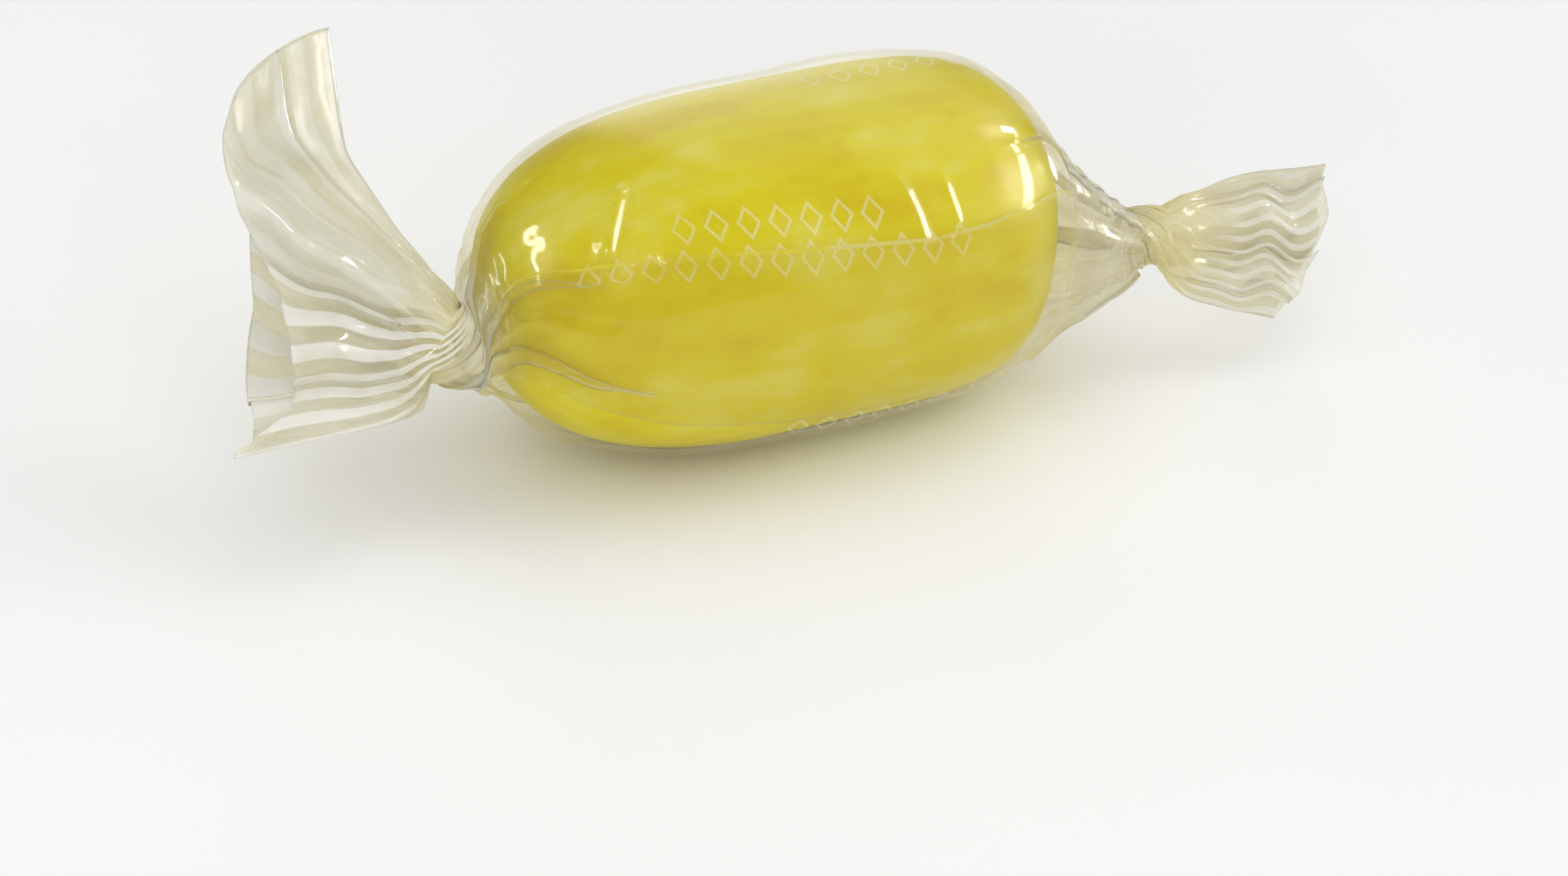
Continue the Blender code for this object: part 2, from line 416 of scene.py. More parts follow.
@dataclass(frozen=True)
class FilmPlaces:
    """A film material's nodes, with the places and patterns that its looks follow."""

    nodes: Nodes
    along: object  # mm along the sheet
    around: object  # turns round it
    to_edge: object  # mm from the nearest cut edge
    object_place: object  # in the piece's own axes
    outward: object  # mm along the sheet, with the left end brought level with the right one
    at_left: object  # 1 in that half of the sheet
    at_right: object
    in_air: object  # 1 where the film has left the sweet, 0 where it lies on it
    gathered: object  # 1 in a twist
    off_top: object  # turns from the left fan's top
    smudge: object  # noise
    drawn: object  # 1 in long streaks


@dataclass(frozen=True)
class FilmFinish:
    """Clear glossy film: hazy where it is crumpled, with white print near its cut edges. Over the
    sweet its haze is painted yellow, as light bounced from the sugar, and painted highlights lie
    along its sharp creases and its free edge.

    A slope holds the values between which something changes and its amounts there, which are
    0 and 1 when they are left out. A pair is for the left and the right end.
    """

    tint: tuple = (0.978, 0.968, 0.925, 1.0)
    tint_in_air: tuple = (0.946, 0.932, 0.870, 1.0)
    haze: tuple = (0.865, 0.855, 0.76, 1.0)
    haze_gathered: tuple = (0.87, 0.82, 0.53, 1.0)
    haze_on_sugar_and_painted_glow: tuple = ((0.84, 0.765, 0.10, 1.0), (0.84, 0.785, 0.34, 1.0))  # pair; their yellow is painted light bounced from the sugar under the film
    haze_through: float = 0.4  # share of the light on it that comes out at the back
    ink: tuple = (0.90, 0.895, 0.855, 1.0)
    ink_through: float = 0.15

    turn_length: float = 54.0  # mm round the sweet
    fan_top: float = 0.34  # turn at the top of the left fan
    left_later: float = 2.5  # mm further out, where the film leaves the sweet on the left
    leaving: tuple = (12.5, 16.5)  # slope, mm outward
    smudges: tuple = (320.0, 2.0, 0.6)  # scale, detail and roughness of this noise and the next
    drawn: tuple = (1.0, 2.0, 0.55)
    drawn_scale: tuple = (0.16, 0.4)  # per mm along and round the sheet
    drawn_out: tuple = (0.45, 0.72)  # slope

    thin_haze: tuple = (0.005, 0.14)  # over the sweet and in the air
    thin_smudged: tuple = (0.3, 0.7, 0.5, 1.6)  # slope, a factor by smudges
    drawn_haze: float = 0.32  # in the air
    shoulder_haze: tuple = (8.5, 14.0, 0.0, 0.18)  # slope, mm outward
    gathered_haze: float = 0.12
    crease_haze_and_highlight: tuple = (0.0, 1.0, 0.14, 0.24)  # slope, from over the sweet to in the air; whitening at sharp creases, partly painted highlight on their crests
    folded: tuple = (0.54, 0.16)  # turns where the left fan bends lengthwise, in both layers
    folded_haze: tuple = (0.080, 0.030, 0.0, 0.45)  # slope, turns from there
    folded_ragged: float = 0.02  # turns
    bend: tuple = (6.0, 20.0)  # mm from the cut edge, where it bends across, and less per turn
    bend_haze: tuple = (1.6, 0.3, 0.0, 0.42)  # slope, mm from there
    bend_ragged: float = 0.8  # mm
    bend_width: tuple = (0.18, 0.12)  # slope, turns from the fan's top
    cut_edge_haze: tuple = (1.3, 0.7, 0.0, 0.26)  # slope, mm from the cut edge
    free_edge: tuple = (0.0045, 0.0015)  # slope, turns from the sheet's free edge
    free_edge_haze_and_highlight: tuple = (0.40, 0.55, 0.15, 0.55)  # slope, by smudges; partly painted highlight along the free edge

    stripes: tuple = (26, 30)  # pair, how many there are
    stripe_gap: tuple = (0.05, 0.28)  # pair, more is a wider gap between them
    stripe_edge: tuple = (-0.2, 0.3)  # slope
    stripe_reach: tuple = (10.5, 6.5)  # pair, mm from the cut edge
    stripe_end: tuple = (0.0, 2.0)  # slope, mm before they end
    stripe_ink: tuple = (0.62, 0.42)  # pair
    faint_at: float = 0.40  # turn in the left fan round which its stripes are faint
    faint: tuple = (0.19, 0.27, 0.34, 1.0)  # slope, turns from there
    rows: tuple = (
        PrintRow(-6.6, 0.975, 7),
        PrintRow(-11.6, 1.008, 13),
        PrintRow(3.4, 0.803, 6),
        PrintRow(-1.2, 0.180, 8),
    )
    row_ink: float = 0.15
    wear: tuple = (0.30, 0.55, 0.6, 1.0)  # slope, by smudges

    crinkles: tuple = (700.0, 1.0)  # scale and detail
    crinkle_height: float = 0.10 * MM
    crinkled: tuple = (0.0, 1.0, 0.05, 0.75)  # slope, from over the sweet to in the air
    gloss: tuple = (0.06, 0.30)  # roughness of its sharp and of its soft gloss
    soft_share: tuple = (0.45, 0.92)  # of the soft gloss, and that at the left fan's top
    soft_width: tuple = (0.20, 0.12)  # slope, turns from the fan's top
    soft_reach: tuple = (9.0, 6.5)  # slope, mm from the cut edge
    straight_on: float = 0.0115  # share of light reflected by each face
    edge_on: float = 0.36  # more of it seen from the side
    edge_power: float = 5.0  # more keeps that nearer to the edge

    def material(self) -> bpy.types.Material:
        """Builds the material."""
        nodes = Nodes.of_material("clear_film")
        at = self.places(nodes)
        # painted light: over the sweet the haze takes the sugar's yellow, as if lit by light
        # bounced from the sugar
        veil_and_painted_glow_colour = nodes.mix_colour(at.at_right, *self.haze_on_sugar_and_painted_glow)
        veil_and_painted_glow_colour = nodes.mix_colour(at.in_air, veil_and_painted_glow_colour, self.haze)
        veil_and_painted_glow_colour = nodes.mix_colour(at.gathered, veil_and_painted_glow_colour, self.haze_gathered)
        tint = nodes.mix_colour(at.in_air, self.tint, self.tint_in_air)
        film = nodes.mix_shader(self.hazy(at), nodes.add("BsdfTransparent", None, Color=tint),
                                nodes.matt(self.haze_through, veil_and_painted_glow_colour))
        film = nodes.mix_shader(self.printed(at), film, nodes.matt(self.ink_through, self.ink))
        facing = nodes.add("LayerWeight", None, Blend=0.5).outputs["Facing"]
        mirrored = nodes.math("MULTIPLY_ADD", nodes.math("POWER", facing, self.edge_power),
                              self.edge_on, self.straight_on)
        return nodes.finish(nodes.mix_shader(mirrored, film, self.glossy(at)))

    def places(self, nodes: Nodes) -> FilmPlaces:
        """Adds the nodes that say where a point lies on the film and in its patterns.

        Args:
            nodes: The material's nodes.

        Returns:
            Their outputs.
        """
        sheet = nodes.add("SeparateXYZ", None, Vector=nodes.attribute("sheet", "Vector"))
        along, around, to_edge = sheet.outputs
        place = nodes.add("TexCoord").outputs["Object"]
        outward = nodes.math("MAXIMUM", along, nodes.math("SUBTRACT", -self.left_later, along))
        lengthwise, crosswise = self.drawn_scale
        stretched = nodes.add("CombineXYZ", None, X=nodes.times(along, lengthwise),
                              Y=nodes.times(around, crosswise * self.turn_length))
        drawn = nodes.noise(stretched.outputs[0], *self.drawn)
        return FilmPlaces(
            nodes, along, around, to_edge, place, outward,
            at_left=nodes.math("LESS_THAN", along, 0.0),
            at_right=nodes.math("GREATER_THAN", along, 0.0),
            in_air=nodes.ramp(outward, *self.leaving),
            gathered=nodes.attribute("gathered"),
            off_top=nodes.apart(around, self.fan_top),
            smudge=nodes.noise(place, *self.smudges),
            drawn=nodes.ramp(drawn, *self.drawn_out),
        )

    def hazy(self, at: FilmPlaces) -> bpy.types.NodeSocket:
        """Adds the nodes of the haze, with painted highlights on sharp creases and along the free
        edge.

        Args:
            at: The material's nodes and places.

        Returns:
            The share of the film that is hazy.
        """
        nodes = at.nodes
        haze = nodes.times(nodes.between(at.in_air, self.thin_haze),
                           nodes.ramp(at.smudge, *self.thin_smudged))
        loose = nodes.math("MAXIMUM", nodes.times(at.in_air, self.drawn_haze),
                           nodes.ramp(at.outward, *self.shoulder_haze))
        haze = nodes.math("MULTIPLY_ADD", at.drawn, loose, haze)
        in_left_fan = nodes.times(at.in_air, at.at_left)
        haze = nodes.math("MULTIPLY_ADD", self.bent(at), in_left_fan, haze)
        # partly painted highlight: the film is whitened where it is sharply creased
        creased = nodes.times(nodes.attribute("crease"), nodes.ramp(at.in_air, *self.crease_haze_and_highlight))
        haze = nodes.math("ADD", haze, creased, clamp=True)
        # partly painted highlight: a whitish line along the sheet's free edge
        free_edge = nodes.times(nodes.ramp(at.around, *self.free_edge),
                                nodes.ramp(at.smudge, *self.free_edge_haze_and_highlight))
        edges = nodes.math("MAXIMUM", nodes.ramp(at.to_edge, *self.cut_edge_haze), free_edge)
        haze = nodes.math("MAXIMUM", haze, edges)
        return nodes.math("MULTIPLY_ADD", at.gathered, self.gathered_haze, haze)

    def bent(self, at: FilmPlaces) -> bpy.types.NodeSocket:
        """Adds the nodes of the haze where the left fan bends, lengthwise and across its top.

        Args:
            at: The material's nodes and places.

        Returns:
            How hazy the left fan is there.
        """
        nodes = at.nodes
        off = nodes.math("MINIMUM", *(nodes.apart(at.around, turn) for turn in self.folded))
        off = nodes.math("MULTIPLY_ADD", at.drawn, -self.folded_ragged, off)
        folded = nodes.ramp(off, *self.folded_haze)
        at_bend, nearer = self.bend
        off = nodes.apart(at.to_edge, nodes.math("MULTIPLY_ADD", at.off_top, -nearer, at_bend))
        off = nodes.math("MULTIPLY_ADD", at.drawn, -self.bend_ragged, off)
        bent = nodes.times(nodes.ramp(off, *self.bend_haze),
                           nodes.ramp(at.off_top, *self.bend_width))
        return nodes.math("MAXIMUM", folded, bent)

    def printed(self, at: FilmPlaces) -> bpy.types.NodeSocket:
        """Adds the nodes of the print.

        Args:
            at: The material's nodes and places.

        Returns:
            How much ink covers the film.
        """
        nodes = at.nodes
        turned = nodes.times(at.around, nodes.between(at.at_right, self.stripes), TURN)
        gap = nodes.between(at.at_right, self.stripe_gap)
        stripe = nodes.ramp(nodes.math("SUBTRACT", nodes.math("SINE", turned), gap),
                            *self.stripe_edge)
        off = nodes.apart(at.around, self.faint_at)
        kept = nodes.math("MAXIMUM", nodes.ramp(off, *self.faint), at.at_right)
        reach = nodes.between(at.at_right, self.stripe_reach)
        near_edge = nodes.ramp(nodes.math("SUBTRACT", reach, at.to_edge), *self.stripe_end)
        stripe = nodes.times(stripe, kept, near_edge, nodes.between(at.at_right, self.stripe_ink))
        first, *others = (row.ink(nodes, at.along, at.around, self.turn_length)
                          for row in self.rows)
        rows = first
        for row in others:
            rows = nodes.math("MAXIMUM", rows, row)
        total = nodes.math("MULTIPLY_ADD", rows, self.row_ink, stripe)
        return nodes.times(total, nodes.ramp(at.smudge, *self.wear))

    def glossy(self, at: FilmPlaces) -> bpy.types.Node:
        """Adds the gloss: sharp and soft, crinkled in the air and softer at the left fan's top.

        Args:
            at: The material's nodes and places.

        Returns:
            The shader node.
        """
        nodes = at.nodes
        bump = nodes.add("Bump", None, Strength=nodes.ramp(at.in_air, *self.crinkled),
                         Distance=self.crinkle_height,
                         Height=nodes.noise(at.object_place, *self.crinkles))
        sharp, soft = (nodes.add("BsdfAnisotropic", None, Color=(1.0, 1.0, 1.0, 1.0),
                                 Roughness=roughness, Normal=bump.outputs[0])
                       for roughness in self.gloss)
        on_top = nodes.times(nodes.ramp(at.off_top, *self.soft_width),
                             nodes.ramp(at.to_edge, *self.soft_reach), at.at_left)
        return nodes.mix_shader(nodes.between(on_top, self.soft_share), sharp, soft)


@dataclass(frozen=True)
class FloorFinish:
    """Matt pale board."""

    colour: tuple = (0.92, 0.92, 0.91, 1.0)
    darker: float = 0.985  # than its colour, in its mottles
    mottle_scale: float = 30.0
    mottled: tuple = (0.3, 0.7)
    roughness: float = 0.85

    def material(self) -> bpy.types.Material:
        """Builds the material."""
        nodes = Nodes.of_material("pale_board")
        place = nodes.add("TexCoord").outputs["Object"]
        mottle = nodes.ramp(nodes.noise(place, self.mottle_scale), *self.mottled)
        darker = tuple(self.darker * part for part in self.colour[:3]) + (1.0,)
        colour = nodes.mix_colour(mottle, self.colour, darker)
        shader = nodes.add("BsdfPrincipled", None, Base_Color=colour, Roughness=self.roughness)
        return nodes.finish(shader)


# ---------------------------------------------------------------------------------------------
# The boiled sweet
# ---------------------------------------------------------------------------------------------


@dataclass(frozen=True)
class SweetForm:
    """The barrel form of the sweet, round its own centre."""

    length: float
    width: float
    height: float
    centre: tuple
    left_power: float = 2.6
    right_power: float = 4.5
    section_power: float = 2.3
    right_lean: float = 0.06  # how much further its right end reaches at the top
    rest_depth: float = 0.2 * MM  # off its underside

    @classmethod
    def from_frame(cls) -> "SweetForm":
        """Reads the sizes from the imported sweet."""
        low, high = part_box("boiled_sweet")
        size = high - low
        height = size.z + cls.rest_depth
        centre = ((low.x + high.x) / 2, (low.y + high.y) / 2, high.z - height / 2)
        return cls(size.x, size.y, height, centre)

    def power(self, x: np.ndarray) -> np.ndarray:
        """The power of the side outline at a place along the sweet."""
        return np.where(np.asarray(x) < 0.0, self.left_power, self.right_power)

    def upright_radius(self, x: np.ndarray, angle: np.ndarray, grown: np.ndarray) -> np.ndarray:
        """Radius of the sweet grown by a distance, before its right end leans.

        Args:
            x: Places along the sweet from its centre.
            angle: Angles round it from straight up, towards the front.
            grown: How far the form is grown.

        Returns:
            Distances from the sweet's axis, 0 beyond its ends.
        """
        up = np.abs(np.cos(angle)) / (self.height / 2 + grown)
        across = np.abs(np.sin(angle)) / (self.width / 2 + grown)
        bulge = self.section_power
        widest = (up**bulge + across**bulge) ** (-1.0 / bulge)
        along = np.clip(np.abs(x) / (self.length / 2 + grown), 0.0, 1.0)
        power = self.power(x)
        return widest * (1.0 - along**power) ** (1.0 / power)

    def leant(self, x: np.ndarray, angle: np.ndarray, share: np.ndarray) -> np.ndarray:
        """How much further along the sweet a point lies for the lean of its right end.

        Args:
            x: Places along the sweet from its centre.
            angle: Angles round it.
            share: How much of the lean there is, from 0 on the axis to 1.

        Returns:
            Factors for the places.
        """
        return 1.0 + np.where(np.asarray(x) > 0.0, self.right_lean, 0.0) * np.cos(angle) * share

    def radius(self, x: np.ndarray, angle: np.ndarray, grown: np.ndarray) -> np.ndarray:
        """Radius of the sweet grown by a distance, with the lean."""
        return self.upright_radius(x / self.leant(x, angle, 1.0), angle, grown)


@dataclass
class BoiledSweet:
    """The sweet itself, uneven as drop rollers leave it."""

    form: SweetForm
    finish: SugarFinish = field(default_factory=SugarFinish)
    rings: int = 130
    segments: int = 168
    lump_height: float = 0.10 * MM
    lump_scale: float = 160.0
    pit_height: float = 0.025 * MM
    pit_scale: float = 900.0

    def points(self) -> np.ndarray:
        """Points of the sweet, ring by ring from its left pole to its right one."""
        polar = np.linspace(0.0, math.pi, self.rings + 1)[1:-1, None]
        angle = (np.arange(self.segments) * TURN / self.segments)[None, :]
        along, across = -np.cos(polar), np.sin(polar)
        power = self.form.power(along)
        reach = (np.abs(along) ** power + across**power) ** (-1.0 / power)
        x = along * reach * self.form.length / 2
        radius = self.form.upright_radius(x, angle, 0.0)
        x = x * self.form.leant(x, angle, radius / (self.form.height / 2))
        rings = np.stack([x, -radius * np.sin(angle), radius * np.cos(angle)], axis=-1)
        poles = [(-self.form.length / 2, 0.0, 0.0), (self.form.length / 2, 0.0, 0.0)]
        points = np.concatenate([rings.reshape(-1, 3), np.array(poles)])
        points = points * (1.0 - self.unevenness(points) / (self.form.height / 2))[:, None]
        lowest = -(self.form.height / 2 - self.form.rest_depth)
        points[:, 2] = np.maximum(points[:, 2], lowest)
        return points + np.array(self.form.centre)

    def unevenness(self, points: np.ndarray) -> np.ndarray:
        """How deep the surface lies under the ideal form at each point.

        Args:
            points: Points of the ideal form, in metres.

        Returns:
            Depths in metres.
        """
        found = np.empty(len(points))
        for i, point in enumerate(points):
            place = Vector(point)
            lump = 0.5 + 0.5 * noise.noise(place * self.lump_scale)
            pit = 0.5 + 0.5 * noise.noise(place * self.pit_scale)
            found[i] = self.lump_height * lump + self.pit_height * pit
        return found

    def faces(self) -> list:
        """Faces over the rings and round both poles."""
        count = self.rings - 1
        left, right = count * self.segments, count * self.segments + 1
        faces = []
        for j in range(self.segments):
            k = (j + 1) % self.segments
            for i in range(count - 1):
                low, high = i * self.segments, (i + 1) * self.segments
                faces.append((low + j, high + j, high + k, low + k))
            last = (count - 1) * self.segments
            faces.append((left, j, k))
            faces.append((right, last + k, last + j))
        return faces

    def build(self) -> bpy.types.Object:
        """Makes the piece and dresses it."""
        piece = meshed("sugar_drop", self.points(), self.faces(), self.finish)
        piece.data.shade_smooth()
        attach(piece, "root")
        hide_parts("boiled_sweet")
        return piece


# ---------------------------------------------------------------------------------------------
# The film wrapper
# ---------------------------------------------------------------------------------------------


@dataclass(frozen=True)
class FanLine:
    """A line of film in a fan from the twist to the cut edge, seen square on to its face."""

    height: float  # where it lies in the fan, from 0 at its foot to 1 at its top
    near: float  # its direction where it leaves the twist, from the fan's middle line
    far: float  # and at the cut edge
    turn: tuple  # shares of its length between which it turns from one to the other
    length: float

    def direction(self, share: np.ndarray) -> np.ndarray:
        """Its direction at shares of its length from the twist."""
        return self.near + (self.far - self.near) * smooth_step(share, *self.turn)


@dataclass(frozen=True)
class TwistedEnd:
    """One end of the wrapper, from the shoulder of the sweet out to the cut edge."""

    side: Side
    neck: tuple  # where the twist starts, from the sweet's centre
    neck_radius: float
    neck_length: float
    twist: float  # how far the film turns from the cone to the fan
    shift_from: float  # place along the sweet where the film starts to lean towards the neck
    cone_power: float  # 1 is a straight cone, more is hollower
    azimuth: float  # where the fan's broad face looks, round Z from -Y
    elevation: float  # and above the horizon
    heading: float  # the fan's middle line in that face, from its right-hand direction
    recede: float  # how far the middle line turns away behind that face
    lines: tuple  # of the fan, from its foot to its top
    foot_forward: float  # how far the lower edge comes out of the face
    folds: float  # waves across the fan
    fold_height: float
    front_short: float  # how much shorter the front layer is at the foot
    seed: int
    pleat_count: int
    pleat_reach: tuple  # shortest and longest pleat, from the twist over the sweet
    smooth_at: float  # angle round the sweet near which the pleats are low
    cone_pleats: float  # how much taller they are off the sweet than over it
    tuck_count: int
    fan_tucks: tuple  # how many in the front and in the back layer
    fan_tuck_width: float  # half the width of one, as a share of the fan's height
    sway: tuple  # height of a wave across the stripes, its length and its first crest
    crease_count: int
    crease_height: float
    cone_rows: int
    fan_rows: int

    def fan_frame(self) -> np.ndarray:
        """Rows of the fan's directions: along its middle line, up its face and out of it."""
        right = Vector((math.cos(self.azimuth), math.sin(self.azimuth), 0.0))
        facing = Vector((
            math.sin(self.azimuth) * math.cos(self.elevation),
            -math.cos(self.azimuth) * math.cos(self.elevation),
            math.sin(self.elevation),
        ))
        upward = facing.cross(right)
        along = right * math.cos(self.heading) + upward * math.sin(self.heading)
        across = (upward * math.cos(self.heading) - right * math.sin(self.heading)) * self.side
        turn = Quaternion(across, self.recede * self.side)
        along.rotate(turn)
        facing.rotate(turn)
        return np.array([along, across, facing])

    def neck_frame(self) -> np.ndarray:
        """The same three directions where the film enters the twist."""
        return np.array([(self.side, 0.0, 0.0), (0.0, 0.0, 1.0), (0.0, -1.0, 0.0)])


LEFT_END = TwistedEnd(
    side=Side.LEFT,
    neck=(-15.5 * MM, -1.4 * MM, -0.6 * MM),
    neck_radius=1.75 * MM,
    neck_length=1.2 * MM,
    twist=190 * DEG,
    shift_from=13.7 * MM,
    cone_power=1.0,
    azimuth=-25 * DEG,
    elevation=29 * DEG,
    heading=160 * DEG,
    recede=0.0,
    lines=(
        FanLine(0.00, -104 * DEG, -34 * DEG, (0.00, 0.42), 10.6 * MM),
        FanLine(0.24, -36 * DEG, -24 * DEG, (0.15, 0.60), 9.2 * MM),
        FanLine(0.42, -4 * DEG, 0 * DEG, (0.20, 0.60), 9.4 * MM),
        FanLine(0.60, 12 * DEG, 14 * DEG, (0.65, 0.80), 10.9 * MM),
        FanLine(0.70, 14 * DEG, 48 * DEG, (0.78, 0.90), 14.0 * MM),
        FanLine(0.77, 17 * DEG, 66 * DEG, (0.74, 0.84), 16.0 * MM),
        FanLine(0.88, 26 * DEG, 64 * DEG, (0.65, 0.77), 15.8 * MM),
        FanLine(1.00, 36 * DEG, 62 * DEG, (0.54, 0.66), 14.9 * MM),
    ),
    foot_forward=6.0 * MM,
    folds=3.5,
    fold_height=0.8 * MM,
    front_short=0.30,
    seed=11,
    pleat_count=11,
    pleat_reach=(3.0 * MM, 11.0 * MM),
    smooth_at=-20 * DEG,
    cone_pleats=1.1,
    tuck_count=5,
    fan_tucks=(3, 2),
    fan_tuck_width=0.022,
    sway=(0.25 * MM, 6.0 * MM, 4.0 * MM),
    crease_count=12,
    crease_height=0.50 * MM,
    cone_rows=32,
    fan_rows=62,
)
RIGHT_END = TwistedEnd(
    side=Side.RIGHT,
    neck=(19.6 * MM, -2.2 * MM, -2.1 * MM),
    neck_radius=1.25 * MM,
    neck_length=1.4 * MM,
    twist=190 * DEG,
    shift_from=12.0 * MM,
    cone_power=1.2,
    azimuth=-25 * DEG,
    elevation=29 * DEG,
    heading=-4 * DEG,
    recede=18 * DEG,
    lines=(
        FanLine(0.00, -64 * DEG, -8 * DEG, (0.05, 0.50), 6.9 * MM),
        FanLine(0.20, -45 * DEG, -3 * DEG, (0.04, 0.47), 7.1 * MM),
        FanLine(0.70, 4 * DEG, 7 * DEG, (0.05, 0.50), 8.7 * MM),
        FanLine(1.00, 38 * DEG, 10 * DEG, (0.10, 0.70), 8.9 * MM),
    ),
    foot_forward=1.0 * MM,
    folds=2.5,
    fold_height=0.5 * MM,
    front_short=0.0,
    seed=5,
    pleat_count=9,
    pleat_reach=(5.0 * MM, 14.0 * MM),
    smooth_at=-10 * DEG,
    cone_pleats=1.5,
    tuck_count=4,
    fan_tucks=(3, 3),
    fan_tuck_width=0.055,
    sway=(0.42 * MM, 3.6 * MM, 5.2 * MM),
    crease_count=10,
    crease_height=0.25 * MM,
    cone_rows=38,
    fan_rows=42,
)


@dataclass
class Pleats:
    """The pleats that run from one end's twist back over the cone and the sweet."""

    end: TwistedEnd
    scatter: float = 0.32  # of the space between them
    heights: tuple = (0.45, 1.0)  # of the tallest
    least: float = 0.3  # of their height, where the film is smooth
    smooth_width: tuple = (0.5, 1.2)  # radians from there
    drifts: float = 9.0  # radians per metre from the twist
    widths: tuple = (0.6, 1.3)  # mm
    widest: float = 1.1  # of half the space between them
    fading: tuple = (0.35, 1.0)  # of their reach

    def __post_init__(self) -> None:
        """Draws the pleats."""
        end = self.end
        random = np.random.default_rng(end.seed)
        count = end.pleat_count
        places = np.arange(count) + random.uniform(-self.scatter, self.scatter, count)
        self.angle = places * TURN / count
        away = np.abs(wrapped(self.angle - end.smooth_at))
        kept = self.least + (1.0 - self.least) * smooth_step(away, *self.smooth_width)
        self.height = random.uniform(*self.heights, count) * kept
        self.reach = random.uniform(*end.pleat_reach, count)
        self.drift = random.uniform(-self.drifts, self.drifts, count)
        self.width = random.uniform(*self.widths, count) * MM

    def relief(self, angle: np.ndarray, distance: float, radius: float) -> np.ndarray:
        """How far the pleats stand out of a ring of film, as a share of their height.

        Args:
            angle: The film's angles in the ring before any twist.
            distance: How far the ring is from the twist.
            radius: The ring's mean radius.

        Returns:
            Shares from 0 to 1.
        """
        crest = self.angle + self.drift * distance
        off = np.abs(wrapped(angle[:, None] - crest[None, :])) * radius
        space = math.pi * radius / self.end.pleat_count
        half = np.minimum(self.width, space * self.widest)
        kept = 1.0 - smooth_step(distance / self.reach, *self.fading)
        tents = np.maximum(1.0 - off / half, 0.0) * self.height * kept
        return tents.max(axis=1)


@dataclass
class Tucks:
    """Narrow folds at one end, where the film doubles back over itself along its columns."""

    end: TwistedEnd
    columns: int  # of points that the film has
    spread: tuple = (0.15, 0.85)  # where one may lie in its share of the columns
    margin: int = 6  # columns kept free at the sheet's edges
    reaches: tuple = (0.45, 1.0)  # of the longest pleat
    widths: tuple = (0.35, 0.75)  # mm
    widest: float = 0.30  # of the ring's radius
    offsets: tuple = (-5, -1, 1, 5)  # columns off its middle, for the next two
    sideways: tuple = (0.0, 1.0, -1.0, 0.0)  # of its width
    lifts: tuple = (0.0, 1.0, 0.35, 0.0)
    lift_height: float = 0.35  # of its width
    fading: tuple = (0.25, 1.0)  # of its reach
    seed_shift: int = 50

    def __post_init__(self) -> None:
        """Draws the tucks."""
        end, columns = self.end, self.columns
        random = np.random.default_rng(end.seed + self.seed_shift)
        count = end.tuck_count
        places = (np.arange(count) + random.uniform(*self.spread, count)) / count
        self.column = np.round(places * (columns - 2 * self.margin)).astype(int) + self.margin
        self.reach = random.uniform(*self.reaches, count) * end.pleat_reach[1]
        self.width = random.uniform(*self.widths, count) * MM

    def fold(self, distance: float, radius: float) -> tuple:
        """How the tucks move a ring of film.

        Args:
            distance: How far the ring is from the twist.
            radius: The ring's mean radius.

        Returns:
            For each column, the angle it moves round the ring and the distance it lifts.
        """
        offset = np.arange(self.columns)[:, None] - self.column[None, :]
        sideways = np.interp(offset, self.offsets, self.sideways)
        above = np.interp(offset, self.offsets, self.lifts) * self.lift_height
        kept = 1.0 - smooth_step(distance / self.reach, *self.fading)
        width = np.minimum(self.width, self.widest * radius) * kept
        return (sideways * width).sum(axis=1) / radius, (above * width).sum(axis=1)


@dataclass
class FanTucks:
    """Folds where a fan's layer doubles back over itself, from the twist to the cut edge."""

    end: TwistedEnd
    spread: tuple = (0.25, 0.75)  # where one may lie in its share of the fan's height
    sides: tuple = (0.06, 0.88)  # of that height, what is free at the foot and what they share
    widths: tuple = (0.6, 1.4)
    doubled: float = 0.7  # of half its width, how far the film goes on and comes back
    lifts: tuple = (0.0, 1.0, -0.4, 0.0)
    seed_shift: int = 70

    def __post_init__(self) -> None:
        """Draws the folds."""
        end = self.end
        random = np.random.default_rng(end.seed + self.seed_shift)
        self.layers = []
        for count in end.fan_tucks:
            middle = (np.arange(count) + random.uniform(*self.spread, count)) / count
            width = random.uniform(*self.widths, count) * end.fan_tuck_width
            heights, lifts = [0.0], [0.0]
            for place, half in zip(self.sides[0] + self.sides[1] * middle, width):
                back = self.doubled * half
                heights += [place - half, place + back, place - back, place + half]
                lifts += self.lifts
            heights.append(1.0)
            lifts.append(0.0)
            path = np.concatenate([[0.0], np.cumsum(np.abs(np.diff(heights)))])
            self.layers.append((path / path[-1], heights, lifts))

    def fold(self, even: np.ndarray, in_front: np.ndarray) -> tuple:
        """How the tucks move the film in a fan.

        Args:
            even: The film's height in the fan if it were spread evenly, from 0 to 1.
            in_front: Whether it is in the front layer.

        Returns:
            The film's height in the fan with its tucks, and how far it lifts, as a share.
        """
        heights, lifts = np.empty_like(even), np.empty_like(even)
        for layer, chosen in zip(self.layers, (in_front, ~in_front)):
            places, folded, lifted = layer
            heights[chosen] = np.interp(even[chosen], places, folded)
            lifts[chosen] = np.interp(even[chosen], places, lifted)
        return heights, lifts


